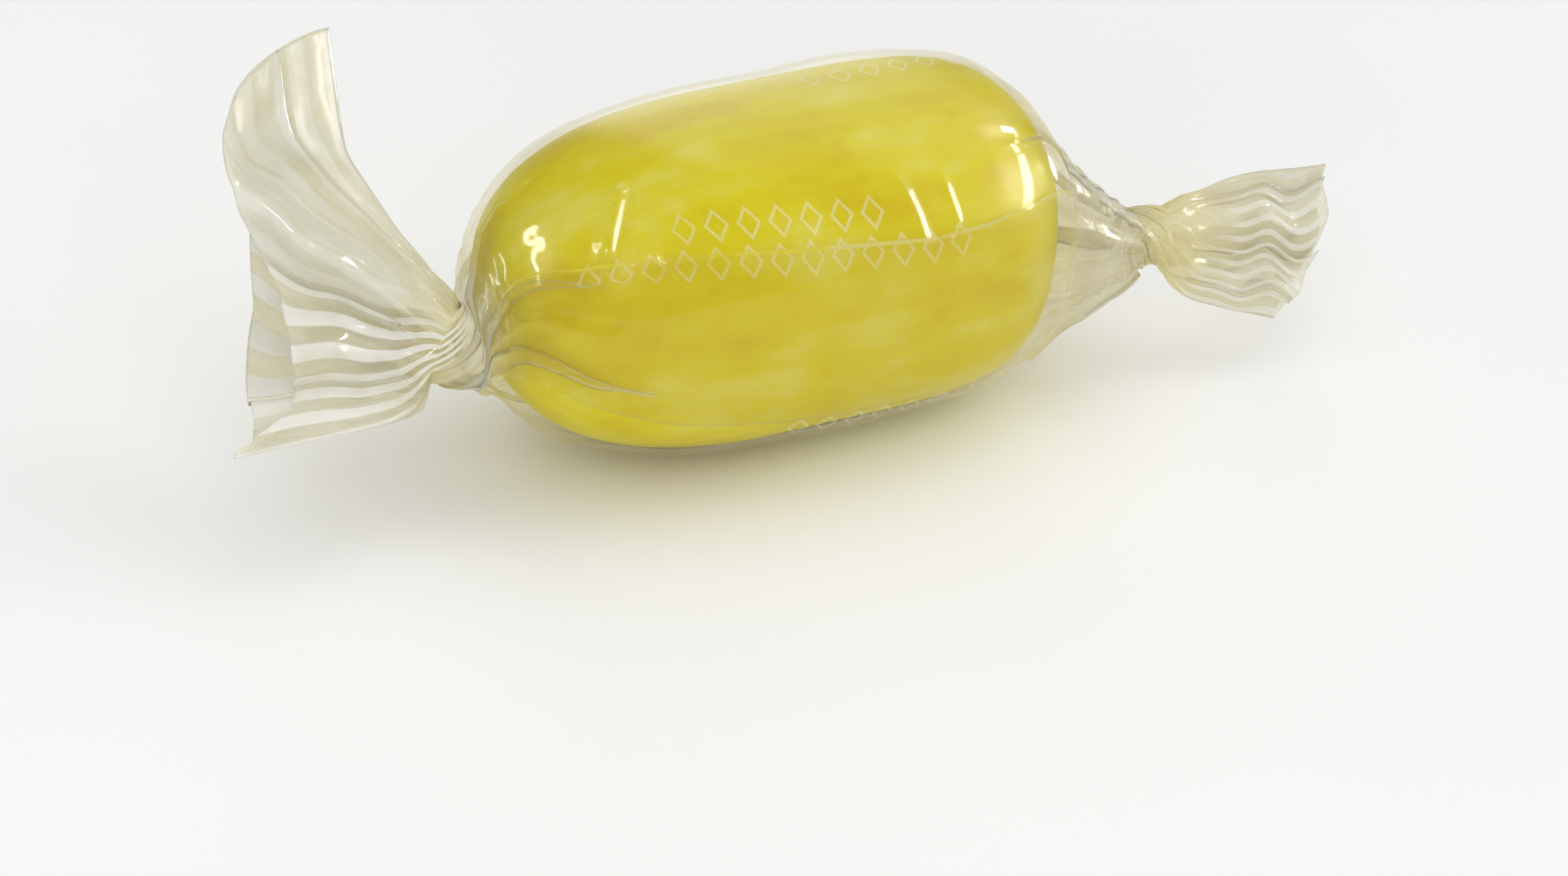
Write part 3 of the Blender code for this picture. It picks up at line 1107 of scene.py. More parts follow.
@dataclass
class Creases:
    """The straight creases of a fan: some run out from the twist, others slant across it."""

    end: TwistedEnd
    scatter: float = 0.38  # of the space between them
    drifts: float = 0.35  # of that space, from the twist to the cut edge
    heights: tuple = (0.35, 1.0)  # of the tallest
    slant_count: int = 6
    slant_length: tuple = (6.0, 2.5)  # mm from crest to crest, and how much that varies
    slant_bent: float = 0.8  # mm, by the others
    shares: tuple = (0.75, 0.38)  # of those from the twist and of those that slant
    seed_shift: int = 100

    def __post_init__(self) -> None:
        """Draws the creases."""
        end = self.end
        random = np.random.default_rng(end.seed + self.seed_shift)
        count = end.crease_count
        scattered = random.uniform(-self.scatter, self.scatter, count)
        self.place = (np.arange(count) + scattered) / count
        self.drift = random.uniform(-self.drifts, self.drifts, count) / count
        self.height = random.uniform(*self.heights, count) * (-1.0) ** np.arange(count)
        self.slants = random.uniform(-1.0, 1.0, (self.slant_count, 4))

    def relief(self, turns: np.ndarray, share: np.ndarray, along: np.ndarray,
               across: np.ndarray) -> np.ndarray:
        """How far the film stands out of the fan's face, as a share of the crease height.

        Args:
            turns: The film's places round the ring, in turns.
            share: How far out it is, 0 at the twist and 1 at the cut edge, one for each row.
            along: Places along the fan's middle line, in millimetres.
            across: Places across it, in millimetres.

        Returns:
            Shares from about -1 to 1.
        """
        radial = np.empty_like(along)
        for row, part in enumerate(share[:, 0]):
            place = self.place + self.drift * part
            radial[row] = np.interp(turns % 1.0, place, self.height, period=1.0)
        slanted = np.zeros_like(along)
        length, varied = self.slant_length
        for direction, step, shift, strength in self.slants:
            turned = math.pi * direction
            phase = along * math.cos(turned) + across * math.sin(turned)
            phase = phase + self.slant_bent * step * radial
            slanted += strength * zigzag(phase / (length + varied * step) + shift)
        return self.shares[0] * radial + self.shares[1] * slanted


@dataclass(frozen=True)
class BodyCrease:
    """A short sharp ridge in the film over the sweet."""

    x: float  # place of its middle along the sweet
    angle: float  # and round it, from straight up towards the front
    length: float
    slant: float  # its direction, from along the sweet
    bow: float  # how far its middle stands off the line between its ends
    slope: float  # of its flanks
    width: float  # of each flank
    fading: tuple = (0.6, 1.0)  # shares of its half length

    def relief(self, x: float, angle: np.ndarray, radius: float) -> np.ndarray:
        """How far the crease lifts the film at places on a ring.

        Args:
            x: The ring's place along the sweet.
            angle: Angles round it.
            radius: The film's radius there.

        Returns:
            Heights above the film.
        """
        along = x - self.x
        around = wrapped(angle - self.angle) * radius
        run = (along * math.cos(self.slant) + around * math.sin(self.slant)) / (self.length / 2)
        off = around * math.cos(self.slant) - along * math.sin(self.slant)
        off = off - self.bow * (1.0 - run**2)
        faded = 1.0 - smooth_step(np.abs(run), *self.fading)
        return self.slope * faded * np.maximum(self.width - np.abs(off), 0.0)


@dataclass
class Fan:
    """One fan, the film from the twist to the cut edge: a flat funnel in two layers."""

    film: "Wrapper"
    end: TwistedEnd
    twist_until: float = 0.3  # share of its length, where the last of the twist ends
    flat_at: float = 0.35  # share of its length
    layer_half_gap: float = 0.55 * MM
    front_side: float = 0.35  # sine of the angle from which film is all in the front layer
    foot: tuple = (0.3, 0.6)  # heights between which the foot ends
    sway_start: tuple = (0.35, 0.75)  # shares of its length
    sway_slant: float = 0.8  # radians from the middle line to its top
    fold_growth: float = 0.8  # power of the share of its length
    crease_growth: float = 0.6
    side_width: tuple = (0.85, 1.0)  # off its middle line, where creases get low
    side_crease: float = 0.4  # of their height, what they keep
    tuck_lift: float = 0.16 * MM

    def funnel(self, share: np.ndarray) -> tuple:
        """How the film is spread over the fan.

        Args:
            share: How far out it is, 0 at the twist and 1 at the cut edge, one for each row.

        Returns:
            For each point its angle round the funnel, its place across the fan from -1 to 1 and
            how far a tuck lifts it, and for each row how flat the funnel is.
        """
        in_cone, in_neck, in_fan = self.film.twist_shares
        turned = in_cone + in_neck + in_fan * smooth_step(share, 0.0, self.twist_until)
        angle = self.film.film_angle(self.end.neck[0])[None, :] + self.end.twist * turned
        flat = smooth_step(share, 0.0, self.flat_at)
        even = 1.0 - np.abs(wrapped(angle)) / math.pi
        tucked, lifted = FanTucks(self.end).fold(even, np.sin(angle) > 0.0)
        spread = (1.0 - flat) * np.cos(angle) + flat * (2.0 * tucked - 1.0)
        return angle, spread, lifted, flat

    def laid_out(self, share: np.ndarray, angle: np.ndarray, height: np.ndarray) -> tuple:
        """Where the fan's lines lead the film.

        Args:
            share: How far out it is, one for each row.
            angle: Its angles round the funnel.
            height: Where it lies in the fan, from 0 at the foot to 1 at the top.

        Returns:
            Its places along the fan's middle line and across it, from where it left the twist.
        """
        lines = self.end.lines
        at = [line.height for line in lines]
        length = np.interp(height, at, [line.length for line in lines])
        in_front = smooth_step(np.sin(angle), 0.0, self.front_side)
        low = 1.0 - smooth_step(height, *self.foot)
        length = length * (1.0 - self.end.front_short * in_front * low)
        turned = np.transpose([line.direction(share[:, 0]) for line in lines])
        direction = np.array([np.interp(row, at, turns) for row, turns in zip(height, turned)])
        step = 1.0 / self.end.fan_rows
        along, across = (step * (np.cumsum(part, axis=0) - (part + part[0]) / 2)
                         for part in (np.cos(direction) * length, np.sin(direction) * length))
        return along, across

    def rings(self, pleats: Pleats, centre: np.ndarray) -> np.ndarray:
        """The fan's rows of points.

        Args:
            pleats: That end's pleats.
            centre: Where the fan leaves the twist.

        Returns:
            The rows, from next to the twist to the cut edge.
        """
        end, film = self.end, self.film
        share = np.linspace(0.0, 1.0, end.fan_rows + 1)[:, None]
        angle, spread, lifted, flat = self.funnel(share)
        height = (spread + 1.0) / 2.0
        along, across = self.laid_out(share, angle, height)
        relief = pleats.relief(film.start, 0.0, end.neck_radius)
        radius = end.neck_radius * (1.0 + film.neck_pleats * relief * (1.0 - flat))
        across = across + radius * spread
        tall, period, crest = end.sway
        swayed = tall * smooth_step(share, *self.sway_start) * (1.0 - spread**4)
        phase = TURN * (along - crest) / period + self.sway_slant * spread
        across = across + swayed * np.cos(phase)

        side = np.sin(angle)
        half_gap = (1.0 - flat) * radius + flat * self.layer_half_gap
        outward = (half_gap + film.lift) * side
        wave = fold_wave(end.folds * math.pi * spread)
        outward = outward + end.fold_height * share**self.fold_growth * wave
        outward = outward + end.foot_forward * share * (1.0 - np.clip(height, 0.0, 1.0)) ** 2
        crease = Creases(end).relief(film.turns, share, along / MM, across / MM)
        middle = 1.0 - smooth_step(np.abs(spread), *self.side_width)
        kept = self.side_crease + (1.0 - self.side_crease) * middle
        outward = outward + crease * end.crease_height * share**self.crease_growth * kept
        outward = outward + self.tuck_lift * lifted * flat * np.sign(side)
        frame_ = end.fan_frame()
        points = along[..., None] * frame_[0] + across[..., None] * frame_[1]
        return (centre + points + outward[..., None] * frame_[2])[1:]


@dataclass
class Wrapper:
    """The film: a sheet rolled round the sweet with an overlap, and twisted shut at both ends."""

    form: SweetForm
    finish: FilmFinish = field(default_factory=FilmFinish)
    left: TwistedEnd = LEFT_END
    right: TwistedEnd = RIGHT_END
    thickness: float = 0.04 * MM
    gap: float = 0.30 * MM  # from the sweet to the middle of the film
    gap_wander: float = 0.08 * MM
    gap_waves: tuple = (420.0, 790.0)  # radians per metre of the sweet
    floor_gap: float = 0.47 * MM  # from the sweet's lowest ring to the floor
    columns: int = 178
    body_rows: int = 78
    crease_crowding: float = 4.5  # how much closer rows are at a crease
    crease_nearness: float = 0.7 * MM
    fine_steps: int = 2000  # for the rows' places
    leaving_steps: int = 200  # for the place where the film leaves the sweet
    neck_rows: int = 12
    body_share: float = 0.75  # of the sweet's half length, where an end's rings take over
    join: float = 0.5 * MM  # over which the film leaves the sweet for the cone
    twist_shares: tuple = (0.3, 0.55, 0.15)  # how much of it is in the cone, the neck and the fan
    cone_twisted: tuple = (0.72, 1.0)  # shares of the cone
    cone_twist_power: float = 1.5
    pleat_height: float = 0.38 * MM
    pleats_grown: tuple = (0.0, 0.4)  # shares of the cone, where they reach the cone's height
    neck_pleats: float = 0.24  # of the neck's radius
    at_neck: tuple = (0.7, 1.0)  # shares of the cone, where they get as high as the neck's
    cone_crumple: float = 0.22 * MM
    crumple_count: int = 5
    crumple_length: tuple = (3.0, 6.0)  # mm from crest to crest
    crumple_least: float = 0.3  # strength
    crumple_seed_shift: int = 30
    crumple_from: float = 0.8 * MM  # off the sweet
    overlap: float = 0.17  # of a turn
    overlap_end: float = 0.02  # of a turn, to each side of where its lift ends
    edge_path: tuple = (  # of the sheet's free edge, mm along the sweet and degrees round it
        (-20.0, 44.0), (-13.2, 44.0), (-11.5, 50.5), (-7.5, 54.9), (-1.8, 60.2),
        (5.4, 65.3), (8.5, 64.5), (11.3, 61.2), (14.0, 57.0), (20.0, 54.0),
    )
    overlap_lift: float = 0.09 * MM
    edge_curl: float = 0.20 * MM
    curl_width: float = 0.014  # of a turn
    ragged: float = 0.45  # of the lift and the curl
    ragged_waves: tuple = (1900.0, 700.0)  # radians per metre of the sweet
    sharp_from: float = 0.35  # bend from which film shows as creased
    gathered_at: tuple = (0.16, 0.42)  # ring lengths, of the flat film's
    creases: tuple = (
        BodyCrease(-9.4 * MM, 38 * DEG, 5.2 * MM, 119 * DEG, 0.15 * MM,
                   0.83, 0.62 * MM),
        BodyCrease(4.7 * MM, 59 * DEG, 4.8 * MM, 79 * DEG, -0.15 * MM,
                   0.24, 0.46 * MM),
        BodyCrease(6.9 * MM, 56 * DEG, 2.4 * MM, 83 * DEG, 0.10 * MM,
                   0.22, 0.34 * MM),
        BodyCrease(-7.6 * MM, 58 * DEG, 1.6 * MM, 70 * DEG, 0.0,
                   0.50, 0.25 * MM),
    )

    def __post_init__(self) -> None:
        """Works out the film's places round each ring, and draws its pleats and tucks."""
        self.turns = np.linspace(0.0, 1.0 + self.overlap, self.columns)
        self.start = self.film_angle(0.0)
        ends = smooth_step(self.turns, self.overlap - self.overlap_end,
                           self.overlap + self.overlap_end)
        self.lift = self.overlap_lift * (1.0 - ends)
        curl = 1.0 - smooth_step(self.turns, 0.0, self.curl_width)
        self.lift = self.lift + self.edge_curl * curl
        self.ends = tuple((end, Pleats(end), Tucks(end, self.columns))
                          for end in (self.left, self.right))
        self.shoulder = self.body_share * self.form.length / 2

    def on_floor(self, ring: np.ndarray) -> np.ndarray:
        """The ring, with what would lie under the floor brought up to it.

        Args:
            ring: Points of a ring, which are changed.

        Returns:
            The same points.
        """
        floor = -(self.form.height / 2 + self.floor_gap) + self.thickness
        ring[:, 2] = np.maximum(ring[:, 2], floor)
        return ring

    def ring(self, centre: object, frame_: np.ndarray, radius: np.ndarray,
             angle: np.ndarray) -> np.ndarray:
        """Points of a ring.

        Args:
            centre: The ring's centre.
            frame_: Rows of its directions: along, up and out of the face.
            radius: The points' distances from the centre.
            angle: Their angles from up, towards out of the face.

        Returns:
            The points, one row each.
        """
        upward = np.outer(radius * np.cos(angle), frame_[1])
        return np.array(centre) + upward + np.outer(radius * np.sin(angle), frame_[2])

    def gap_at(self, x: float, angle: np.ndarray) -> np.ndarray:
        """The film's uneven distance from the sweet.

        Args:
            x: Place along the sweet.
            angle: Angles round it.

        Returns:
            Distances in metres.
        """
        slow, quick = self.gap_waves
        wander = np.sin(x * slow + 2.0 * np.sin(angle)) + np.sin(x * quick - 3.0 * angle + 1.0)
        return self.gap + self.gap_wander * wander / 2

    def film_angle(self, x: float) -> np.ndarray:
        """Angles of the film's columns before any twist, at a place along the sweet."""
        edge = float(np.interp(x / MM, *zip(*self.edge_path))) * DEG
        return edge + TURN * self.turns

    def curl_at(self, x: float) -> np.ndarray:
        """How far the film stands off at its overlap, unevenly along its free edge."""
        quick, slow = self.ragged_waves
        return self.lift * (1.0 + self.ragged * math.sin(x * quick) * math.sin(x * slow + 1.0))

    def creased(self, outward: np.ndarray, x: float, angle: np.ndarray,
                radius: float) -> np.ndarray:
        """Adds the short creases over the sweet.

        Args:
            outward: How far the film stands off.
            x: The ring's place along the sweet.
            angle: Angles round it.
            radius: The film's radius there.

        Returns:
            How far it stands off with the creases.
        """
        for crease in self.creases:
            outward = outward + crease.relief(x, angle, radius)
        return outward

    def ring_on_sweet(self, x: float) -> np.ndarray:
        """A ring of film over the side of the sweet.

        Args:
            x: Its place along the sweet.

        Returns:
            Its points.
        """
        angle = self.film_angle(x)
        mean = self.form.height / 2
        outward = self.curl_at(x)
        for end, pleats, tucks in self.ends:
            distance = abs(end.neck[0] - x)
            outward = outward + self.pleat_height * pleats.relief(self.start, distance, mean)
            sideways, above = tucks.fold(distance, mean)
            angle = angle + sideways
            outward = outward + above
        outward = self.creased(outward, x, angle, mean)
        radius = self.form.radius(x, angle, self.gap_at(x, angle)) + outward
        return self.on_floor(self.ring((x, 0.0, 0.0), self.right.neck_frame(), radius, angle))

    def leaving_place(self, end: TwistedEnd) -> float:
        """Place along the sweet where a straight line from the twist just touches it.

        Args:
            end: The twisted end.

        Returns:
            Distance from the sweet's middle.
        """
        along = np.linspace(0.0, self.form.length / 2, self.leaving_steps)
        radius = self.form.upright_radius(end.side * along, 0.0, self.gap)
        slope = (radius - end.neck_radius) / (abs(end.neck[0]) - along)
        return float(along[np.argmax(slope)])

    def cone_radius(self, end: TwistedEnd, out: float, angle: np.ndarray) -> np.ndarray:
        """Radius of the cone from where the film leaves the sweet to the twist.

        Args:
            end: The end that it belongs to.
            out: How far from the sweet's middle.
            angle: Angles round it.

        Returns:
            The radii.
        """
        neck_out = abs(end.neck[0])
        leaving = self.leaving_place(end)
        first = self.form.upright_radius(end.side * leaving, angle, self.gap)
        left_over = min((neck_out - out) / (neck_out - leaving), 1.0) ** end.cone_power
        return end.neck_radius + (first - end.neck_radius) * left_over

    def cone_ring(self, end: TwistedEnd, pleats: Pleats, tucks: Tucks, share: float) -> np.ndarray:
        """A ring between the shoulder of the sweet and the twist.

        Args:
            end: The end that it belongs to.
            pleats: That end's pleats.
            tucks: That end's tucks.
            share: 0 at the shoulder, 1 at the twist.

        Returns:
            Its points.
        """
        neck_out = abs(end.neck[0])
        out = self.shoulder + (neck_out - self.shoulder) * math.sin(share * math.pi / 2)
        x = end.side * out
        angle = self.film_angle(x) + end.twist * self.turned_in_cone(share)
        on_sweet = self.form.radius(x, angle, self.gap_at(x, angle))
        on_cone = self.cone_radius(end, out, angle)
        radius = soft_maximum(on_sweet, on_cone, self.join)
        mean = float(radius.mean())
        near = float(smooth_step(share, *self.at_neck))
        grown = 1.0 + (end.cone_pleats - 1.0) * float(smooth_step(share, *self.pleats_grown))
        height = self.pleat_height * grown * (1.0 - near)
        height = height + near * self.neck_pleats * end.neck_radius
        outward = height * pleats.relief(self.start, neck_out - out, mean) + self.curl_at(x)
        sideways, above = tucks.fold(neck_out - out, mean)
        in_air = smooth_step(on_cone - on_sweet, 0.0, self.crumple_from)
        crumple = self.crumple(end, x / MM, self.start * mean / MM)
        outward = outward + above + self.cone_crumple * in_air * crumple * (1.0 - near)
        radius = radius + self.creased(outward, x, angle, mean)
        lean = smooth_step(out, end.shift_from, neck_out)
        centre = (x, end.neck[1] * lean, end.neck[2] * lean)
        return self.on_floor(self.ring(centre, end.neck_frame(), radius, angle + sideways))

    def crumple(self, end: TwistedEnd, along: float, around: np.ndarray) -> np.ndarray:
        """Straight-sided dents of loose film.

        Args:
            end: The end that the film belongs to.
            along: Place along the sweet, in millimetres.
            around: Places round it, in millimetres.

        Returns:
            Heights from about -1 to 1.
        """
        random = np.random.default_rng(end.seed + self.crumple_seed_shift)
        found = np.zeros_like(around)
        short, long = self.crumple_length
        for direction, shift, strength in random.uniform(0.0, 1.0, (self.crumple_count, 3)):
            turned = math.pi * direction
            phase = along * math.cos(turned) + around * math.sin(turned)
            phase = phase / (short + (long - short) * shift) + shift * 7.0
            least = self.crumple_least
            found += (least + (1.0 - least) * strength) * zigzag(phase)
        return found / (self.crumple_count / 2)

    def turned_in_cone(self, share: float) -> float:
        """Share of the twist that the film has turned by a place in the cone."""
        turned = float(smooth_step(share, *self.cone_twisted))
        return self.twist_shares[0] * turned**self.cone_twist_power

    def neck_rings(self, end: TwistedEnd, pleats: Pleats, tucks: Tucks) -> tuple:
        """The rings of a twist, which turn from the cone's direction to the fan's.

        Args:
            end: The end that they belong to.
            pleats: That end's pleats.
            tucks: That end's tucks.

        Returns:
            The rings, and the centre of the last one.
        """
        first, last = end.neck_frame(), end.fan_frame()
        turn = Matrix(last.T @ first).to_quaternion()
        centre = np.array(end.neck)
        relief = pleats.relief(self.start, 0.0, end.neck_radius)
        radius = end.neck_radius * (1.0 + self.neck_pleats * relief)
        sideways, above = tucks.fold(0.0, end.neck_radius)
        step = end.neck_length / self.neck_rows
        in_cone, in_neck, _ = self.twist_shares
        rings = []
        for i in range(1, self.neck_rows + 1):
            share = i / self.neck_rows
            part = Quaternion().slerp(turn, share)
            frame_ = np.array([part @ Vector(row) for row in first])
            centre = centre + step * frame_[0]
            angle = self.film_angle(end.neck[0]) + end.twist * (in_cone + in_neck * share)
            angle = angle + sideways * (1.0 - share)
            grown = radius + (above + self.lift) * (1.0 - share)
            rings.append(self.ring(centre, frame_, grown, angle))
        return rings, centre

    def end_rings(self, end: TwistedEnd, pleats: Pleats, tucks: Tucks) -> np.ndarray:
        """One end's rings, from next to the shoulder out to the cut edge.

        Args:
            end: The twisted end.
            pleats: Its pleats.
            tucks: Its tucks.

        Returns:
            Their points, ring by ring.
        """
        cone = [self.cone_ring(end, pleats, tucks, (i + 1) / end.cone_rows)
                for i in range(end.cone_rows)]
        neck, centre = self.neck_rings(end, pleats, tucks)
        return np.concatenate([cone, neck, Fan(self, end).rings(pleats, centre)])

    def body_places(self) -> np.ndarray:
        """Places of the rings along the sweet, closer together at its creases."""
        fine = np.linspace(-self.shoulder, self.shoulder, self.fine_steps)
        density = np.ones_like(fine)
        for crease in self.creases:
            off = (fine - crease.x) / self.crease_nearness
            density += self.crease_crowding * np.exp(-(off**2))
        passed = np.concatenate([[0.0], np.cumsum((density[1:] + density[:-1]) / 2)])
        return np.interp(np.linspace(0.0, passed[-1], self.body_rows), passed, fine)

    def surface(self) -> np.ndarray:
        """The film's middle surface as rows of points, from the left cut edge to the right one."""
        body = np.array([self.ring_on_sweet(float(x)) for x in self.body_places()])
        left, right = (self.end_rings(*parts) for parts in self.ends)
        return np.concatenate([left[::-1], body, right]) + np.array(self.form.centre)

    def sheet_places(self, points: np.ndarray) -> np.ndarray:
        """Where each point lies on the flat sheet.

        Args:
            points: The film's rows of points.

        Returns:
            For each point its place along the sheet from the sweet's middle and its distance
            from the nearest cut edge, in millimetres, and between them its place in turns.
        """
        steps = np.linalg.norm(np.diff(points, axis=0), axis=2) / MM
        from_left = np.vstack([np.zeros(self.columns), np.cumsum(steps, axis=0)])
        from_right = from_left[-1] - from_left
        offset = points[:, 0, 0] - self.form.centre[0]
        middle = int(np.argmin(np.abs(offset)))
        along = from_left - from_left[middle] + offset[middle] / MM
        around = np.broadcast_to(self.turns, along.shape)
        return np.stack([along, around, np.minimum(from_left, from_right)], axis=-1)

    def normals(self, points: np.ndarray) -> np.ndarray:
        """Directions out of the film at its points.

        Args:
            points: The film's points, ring by ring.

        Returns:
            Unit vectors.
        """
        along = np.gradient(points, axis=0)
        around = np.gradient(points, axis=1)
        found = np.cross(around, along)
        return found / np.maximum(np.linalg.norm(found, axis=2, keepdims=True), 1e-12)

    def sharpness(self, normals: np.ndarray) -> np.ndarray:
        """How sharply the film is creased at its points, from 0 to 1.

        Args:
            normals: Directions out of the film at its points.

        Returns:
            The sharpness of each point.
        """
        bend = np.zeros(normals.shape[:2])
        bend[1:-1] += np.linalg.norm(normals[2:] - normals[:-2], axis=2)
        bend[:, 1:-1] += np.linalg.norm(normals[:, 2:] - normals[:, :-2], axis=2)
        return np.clip(bend - self.sharp_from, 0.0, 1.0)

    def gathered(self, points: np.ndarray) -> np.ndarray:
        """How tightly each point's ring is gathered, from 0 over the sweet to 1 in a twist.

        Args:
            points: The film's points, ring by ring.

        Returns:
            The tightness at each point.
        """
        round_ring = np.linalg.norm(np.diff(points, axis=1), axis=2).sum(axis=1, keepdims=True)
        flat = self.finish.turn_length * (1.0 + self.overlap) * MM
        found = 1.0 - smooth_step(round_ring / flat, *self.gathered_at)
        return np.broadcast_to(found, points.shape[:2])

    def faces(self, rows: int) -> tuple:
        """Faces of the thin shell.

        Args:
            rows: How many rows of points each side has.

        Returns:
            The faces, and how many of them are on the two broad sides.
        """
        index = np.arange(rows * self.columns).reshape(rows, self.columns)
        under = index + rows * self.columns
        quads = np.stack([index[:-1, :-1], index[:-1, 1:], index[1:, 1:], index[1:, :-1]], axis=-1)
        outer = quads.reshape(-1, 4)
        inner = (quads + rows * self.columns).reshape(-1, 4)[:, ::-1]
        rims = []
        for top, bottom in (
            (index[0, ::-1], under[0, ::-1]),
            (index[-1], under[-1]),
            (index[:, 0], under[:, 0]),
            (index[::-1, -1], under[::-1, -1]),
        ):
            rims.append(np.stack([top[1:], top[:-1], bottom[:-1], bottom[1:]], axis=-1))
        return np.concatenate([outer, inner, *rims]), len(outer) + len(inner)

    def build(self) -> bpy.types.Object:
        """Makes the piece and dresses it."""
        middle = self.surface()
        normals = self.normals(middle)
        places = self.sheet_places(middle).reshape(-1, 3)
        sharp = self.sharpness(normals).ravel()
        gathered = self.gathered(middle).ravel()
        half = normals * self.thickness / 2
        points = np.concatenate([(middle + half).reshape(-1, 3), (middle - half).reshape(-1, 3)])
        faces, broad = self.faces(len(middle))
        piece = meshed("twist_film", points, faces, self.finish)
        data = piece.data
        data.polygons.foreach_set("use_smooth", np.arange(len(faces)) < broad)
        sheet = data.attributes.new("sheet", "FLOAT_VECTOR", "POINT")
        sheet.data.foreach_set("vector", np.tile(places, (2, 1)).astype(np.float32).ravel())
        for name, values in (("crease", sharp), ("gathered", gathered)):
            attribute = data.attributes.new(name, "FLOAT", "POINT")
            attribute.data.foreach_set("value", np.tile(values, 2).astype(np.float32))
        data.update()
        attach(piece, "root")
        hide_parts("wrapper")
        return piece


# ---------------------------------------------------------------------------------------------
# Floor, light and camera
# ---------------------------------------------------------------------------------------------


class Lights(Enum):
    """What a lamp's light is for."""

    SURFACES = "surfaces"  # matt and translucent ones, with no reflection of the lamp
    GLOSS = "gloss"  # only its reflections


@dataclass(frozen=True)
class Lamp:
    """A rectangular area lamp that looks at the sweet."""

    name: str
    place: tuple
    size: tuple  # width and height
    brightness: float  # beside a white floor's, which is about 1
    lights: Lights
    roll: float = 0.0  # how far its height leans over, seen from behind it

    def build(self, target: Vector) -> None:
        """Hangs the lamp.

        Args:
            target: What it looks at.
        """
        data = bpy.data.lights.new(self.name, "AREA")
        data.shape = "RECTANGLE"
        data.size, data.size_y = self.size
        data.energy = self.brightness * math.pi * self.size[0] * self.size[1]
        lamp = placed(self.name, data)
        lamp.location = Vector(self.place)
        facing = (target - lamp.location).to_track_quat("-Z", "Y")
        lamp.rotation_euler = (facing @ Quaternion((0.0, 0.0, 1.0), self.roll)).to_euler()
        lamp.visible_glossy = self.lights is Lights.GLOSS
        lamp.visible_diffuse = lamp.visible_transmission = self.lights is Lights.SURFACES
        lamp.visible_camera = False


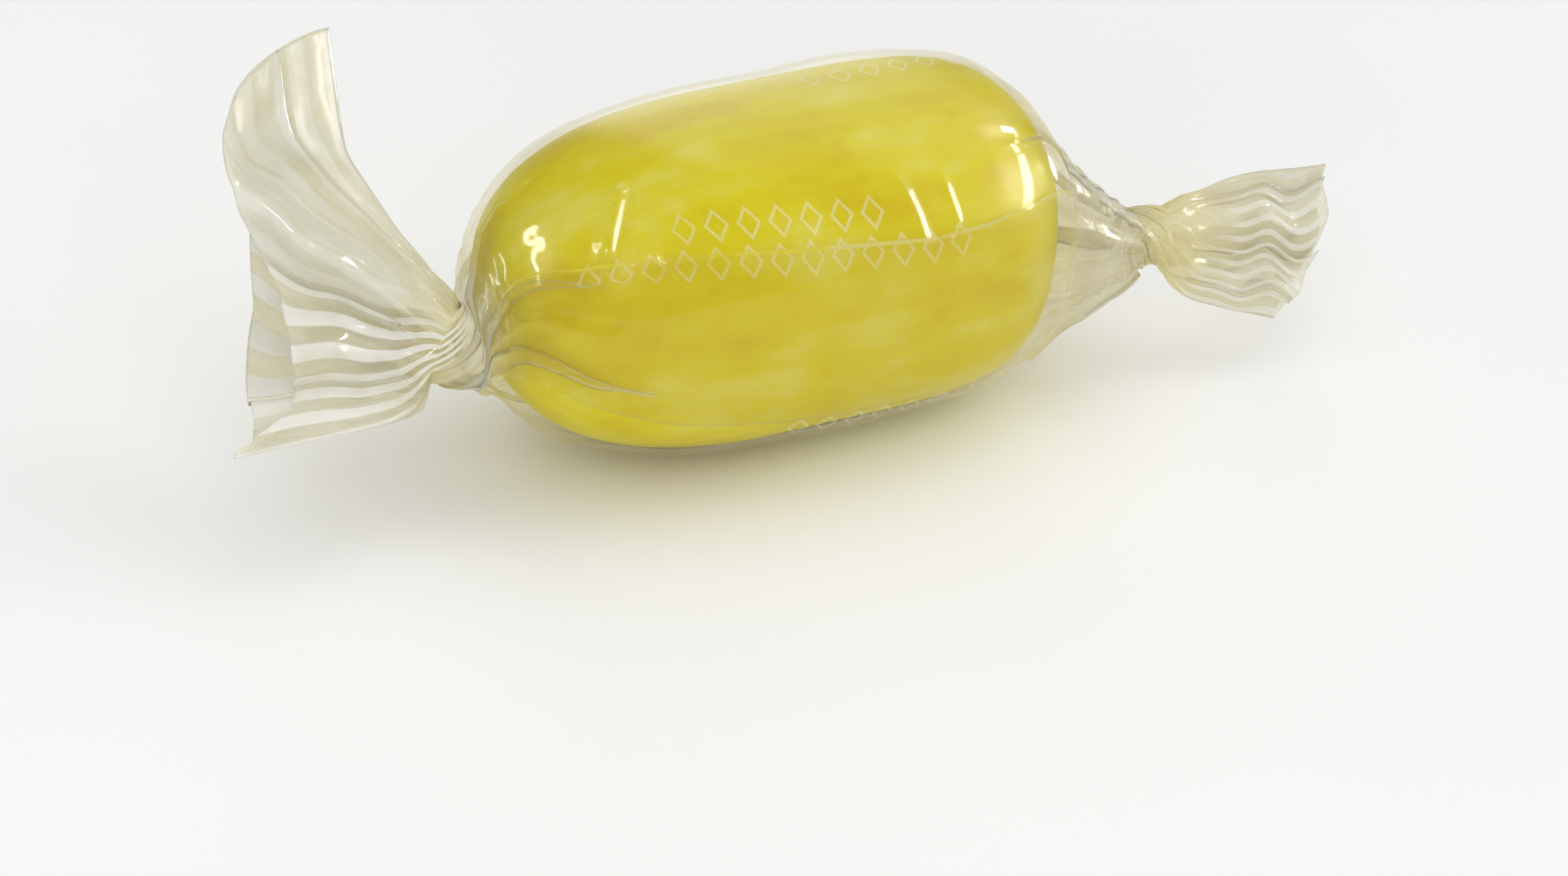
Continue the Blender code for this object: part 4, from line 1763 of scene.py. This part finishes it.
@dataclass
class Studio:
    """A pale floor under soft light."""

    floor_size: float = 3.0
    floor_finish: FloorFinish = field(default_factory=FloorFinish)
    sky_dark: float = 0.36
    sky_bright: float = 1.72
    sky_limits: tuple = (
        ((0.93, 0.31, 0.19), 0.45, 0.60),  # the bright part lies round this direction
        ((-0.88, -0.47, -0.05), -0.87, -0.75),  # but not right opposite this one
    )
    film_layers: int = 32  # that light can pass through
    lamps: tuple = (
        Lamp("front_fill", (-0.30, -0.60, 0.42), (0.80, 0.80), 1.28, Lights.SURFACES),
        Lamp("overhead_fill", (-0.10, 0.05, 0.80), (0.80, 0.80), 0.70, Lights.SURFACES),
        Lamp("low_fill", (-0.42, -0.62, 0.16), (0.60, 0.24), 1.45, Lights.SURFACES),
        Lamp("window_strip", (-0.178, -0.240, 0.268), (0.024, 0.075), 92.0, Lights.GLOSS),
        Lamp("fan_lamp", (0.278, 0.074, 0.278), (0.030, 0.045), 78.0, Lights.GLOSS),
        Lamp("cone_lamp", (0.396, 0.036, 0.052), (0.050, 0.050), 52.0, Lights.GLOSS),
        Lamp("right_strip", (0.310, -0.188, 0.168), (0.056, 0.240), 43.0, Lights.GLOSS,
             roll=-38 * DEG),
        Lamp("left_strip", (-0.348, 0.080, 0.180), (0.036, 0.200), 39.0, Lights.GLOSS,
             roll=30 * DEG),
    )

    def build(self, target: Vector) -> None:
        """Makes the floor, the lamps and the light all round.

        Args:
            target: What the lamps look at.
        """
        half = self.floor_size / 2
        corners = [(-half, -half, 0.0), (half, -half, 0.0), (half, half, 0.0), (-half, half, 0.0)]
        floor = meshed("floor", corners, [(0, 1, 2, 3)], self.floor_finish)
        for lamp in self.lamps:
            lamp.build(target)
        self.light_all_round()
        scene = bpy.context.scene
        scene.view_settings.view_transform = "Standard"
        scene.cycles.transparent_max_bounces = self.film_layers

    def light_all_round(self) -> None:
        """Lights the scene from all sides, most from a wide pale wall behind on the right."""
        nodes = Nodes(bpy.data.worlds.new("studio"), "OutputWorld")
        direction = nodes.add("TexCoord").outputs["Generated"]
        limits = []
        for towards, start, end in self.sky_limits:
            dot = nodes.add("VectorMath", {"operation": "DOT_PRODUCT"}, Vector=direction)
            nodes.feed(dot.inputs[1], towards)
            limits.append(nodes.ramp(dot.outputs["Value"], start, end))
        strength = nodes.between(nodes.times(*limits), (self.sky_dark, self.sky_bright))
        sky = nodes.add("Background", None, Color=(1.0, 1.0, 1.0, 1.0), Strength=strength)
        bpy.context.scene.world = nodes.finish(sky)


@dataclass(frozen=True)
class PhotoCamera:
    """The camera at the photograph's angle."""

    azimuth: float = -25 * DEG
    elevation: float = 29 * DEG
    distance: float = 0.30
    lens: float = 143.0
    sensor: float = 36.0
    clip: tuple = (0.01, 20.0)
    sweet_at: tuple = (1240, 424)  # pixel of the photograph where the sweet's centre is

    def directions(self) -> tuple:
        """The camera's right, up and backward directions."""
        a, e = self.azimuth, self.elevation
        right = Vector((math.cos(a), math.sin(a), 0.0))
        back = Vector((math.sin(a) * math.cos(e), -math.cos(a) * math.cos(e), math.sin(e)))
        return right, back.cross(right), back

    def build(self, sweet: Vector) -> None:
        """Puts the camera in place.

        Args:
            sweet: The sweet's centre.
        """
        right, up, back = self.directions()
        pixel = self.distance * self.sensor / self.lens / PHOTO_WIDTH
        aside = (PHOTO_WIDTH / 2 - self.sweet_at[0]) * pixel
        below = (PHOTO_HEIGHT / 2 - self.sweet_at[1]) * pixel
        aim = sweet + right * aside - up * below
        data = bpy.data.cameras.new("photo_camera")
        data.lens = self.lens
        data.sensor_width = self.sensor
        data.clip_start, data.clip_end = self.clip
        camera = placed("photo_camera", data)
        camera.rotation_mode = "QUATERNION"
        camera.location = aim + back * self.distance
        camera.rotation_quaternion = (-back).to_track_quat("-Z", "Y")
        bpy.context.scene.camera = camera


def main() -> None:
    """Builds the whole scene and reports its pieces."""
    logging.basicConfig(level=logging.INFO, format="%(name)s: %(message)s")
    form = SweetForm.from_frame()
    for builder in (BoiledSweet(form), Wrapper(form)):
        piece = builder.build()
        log.info("%s: %d faces", piece.name, len(piece.data.polygons))
    centre = Vector(form.centre)
    Studio().build(centre)
    PhotoCamera().build(centre)


if __name__ == "__main__":
    main()
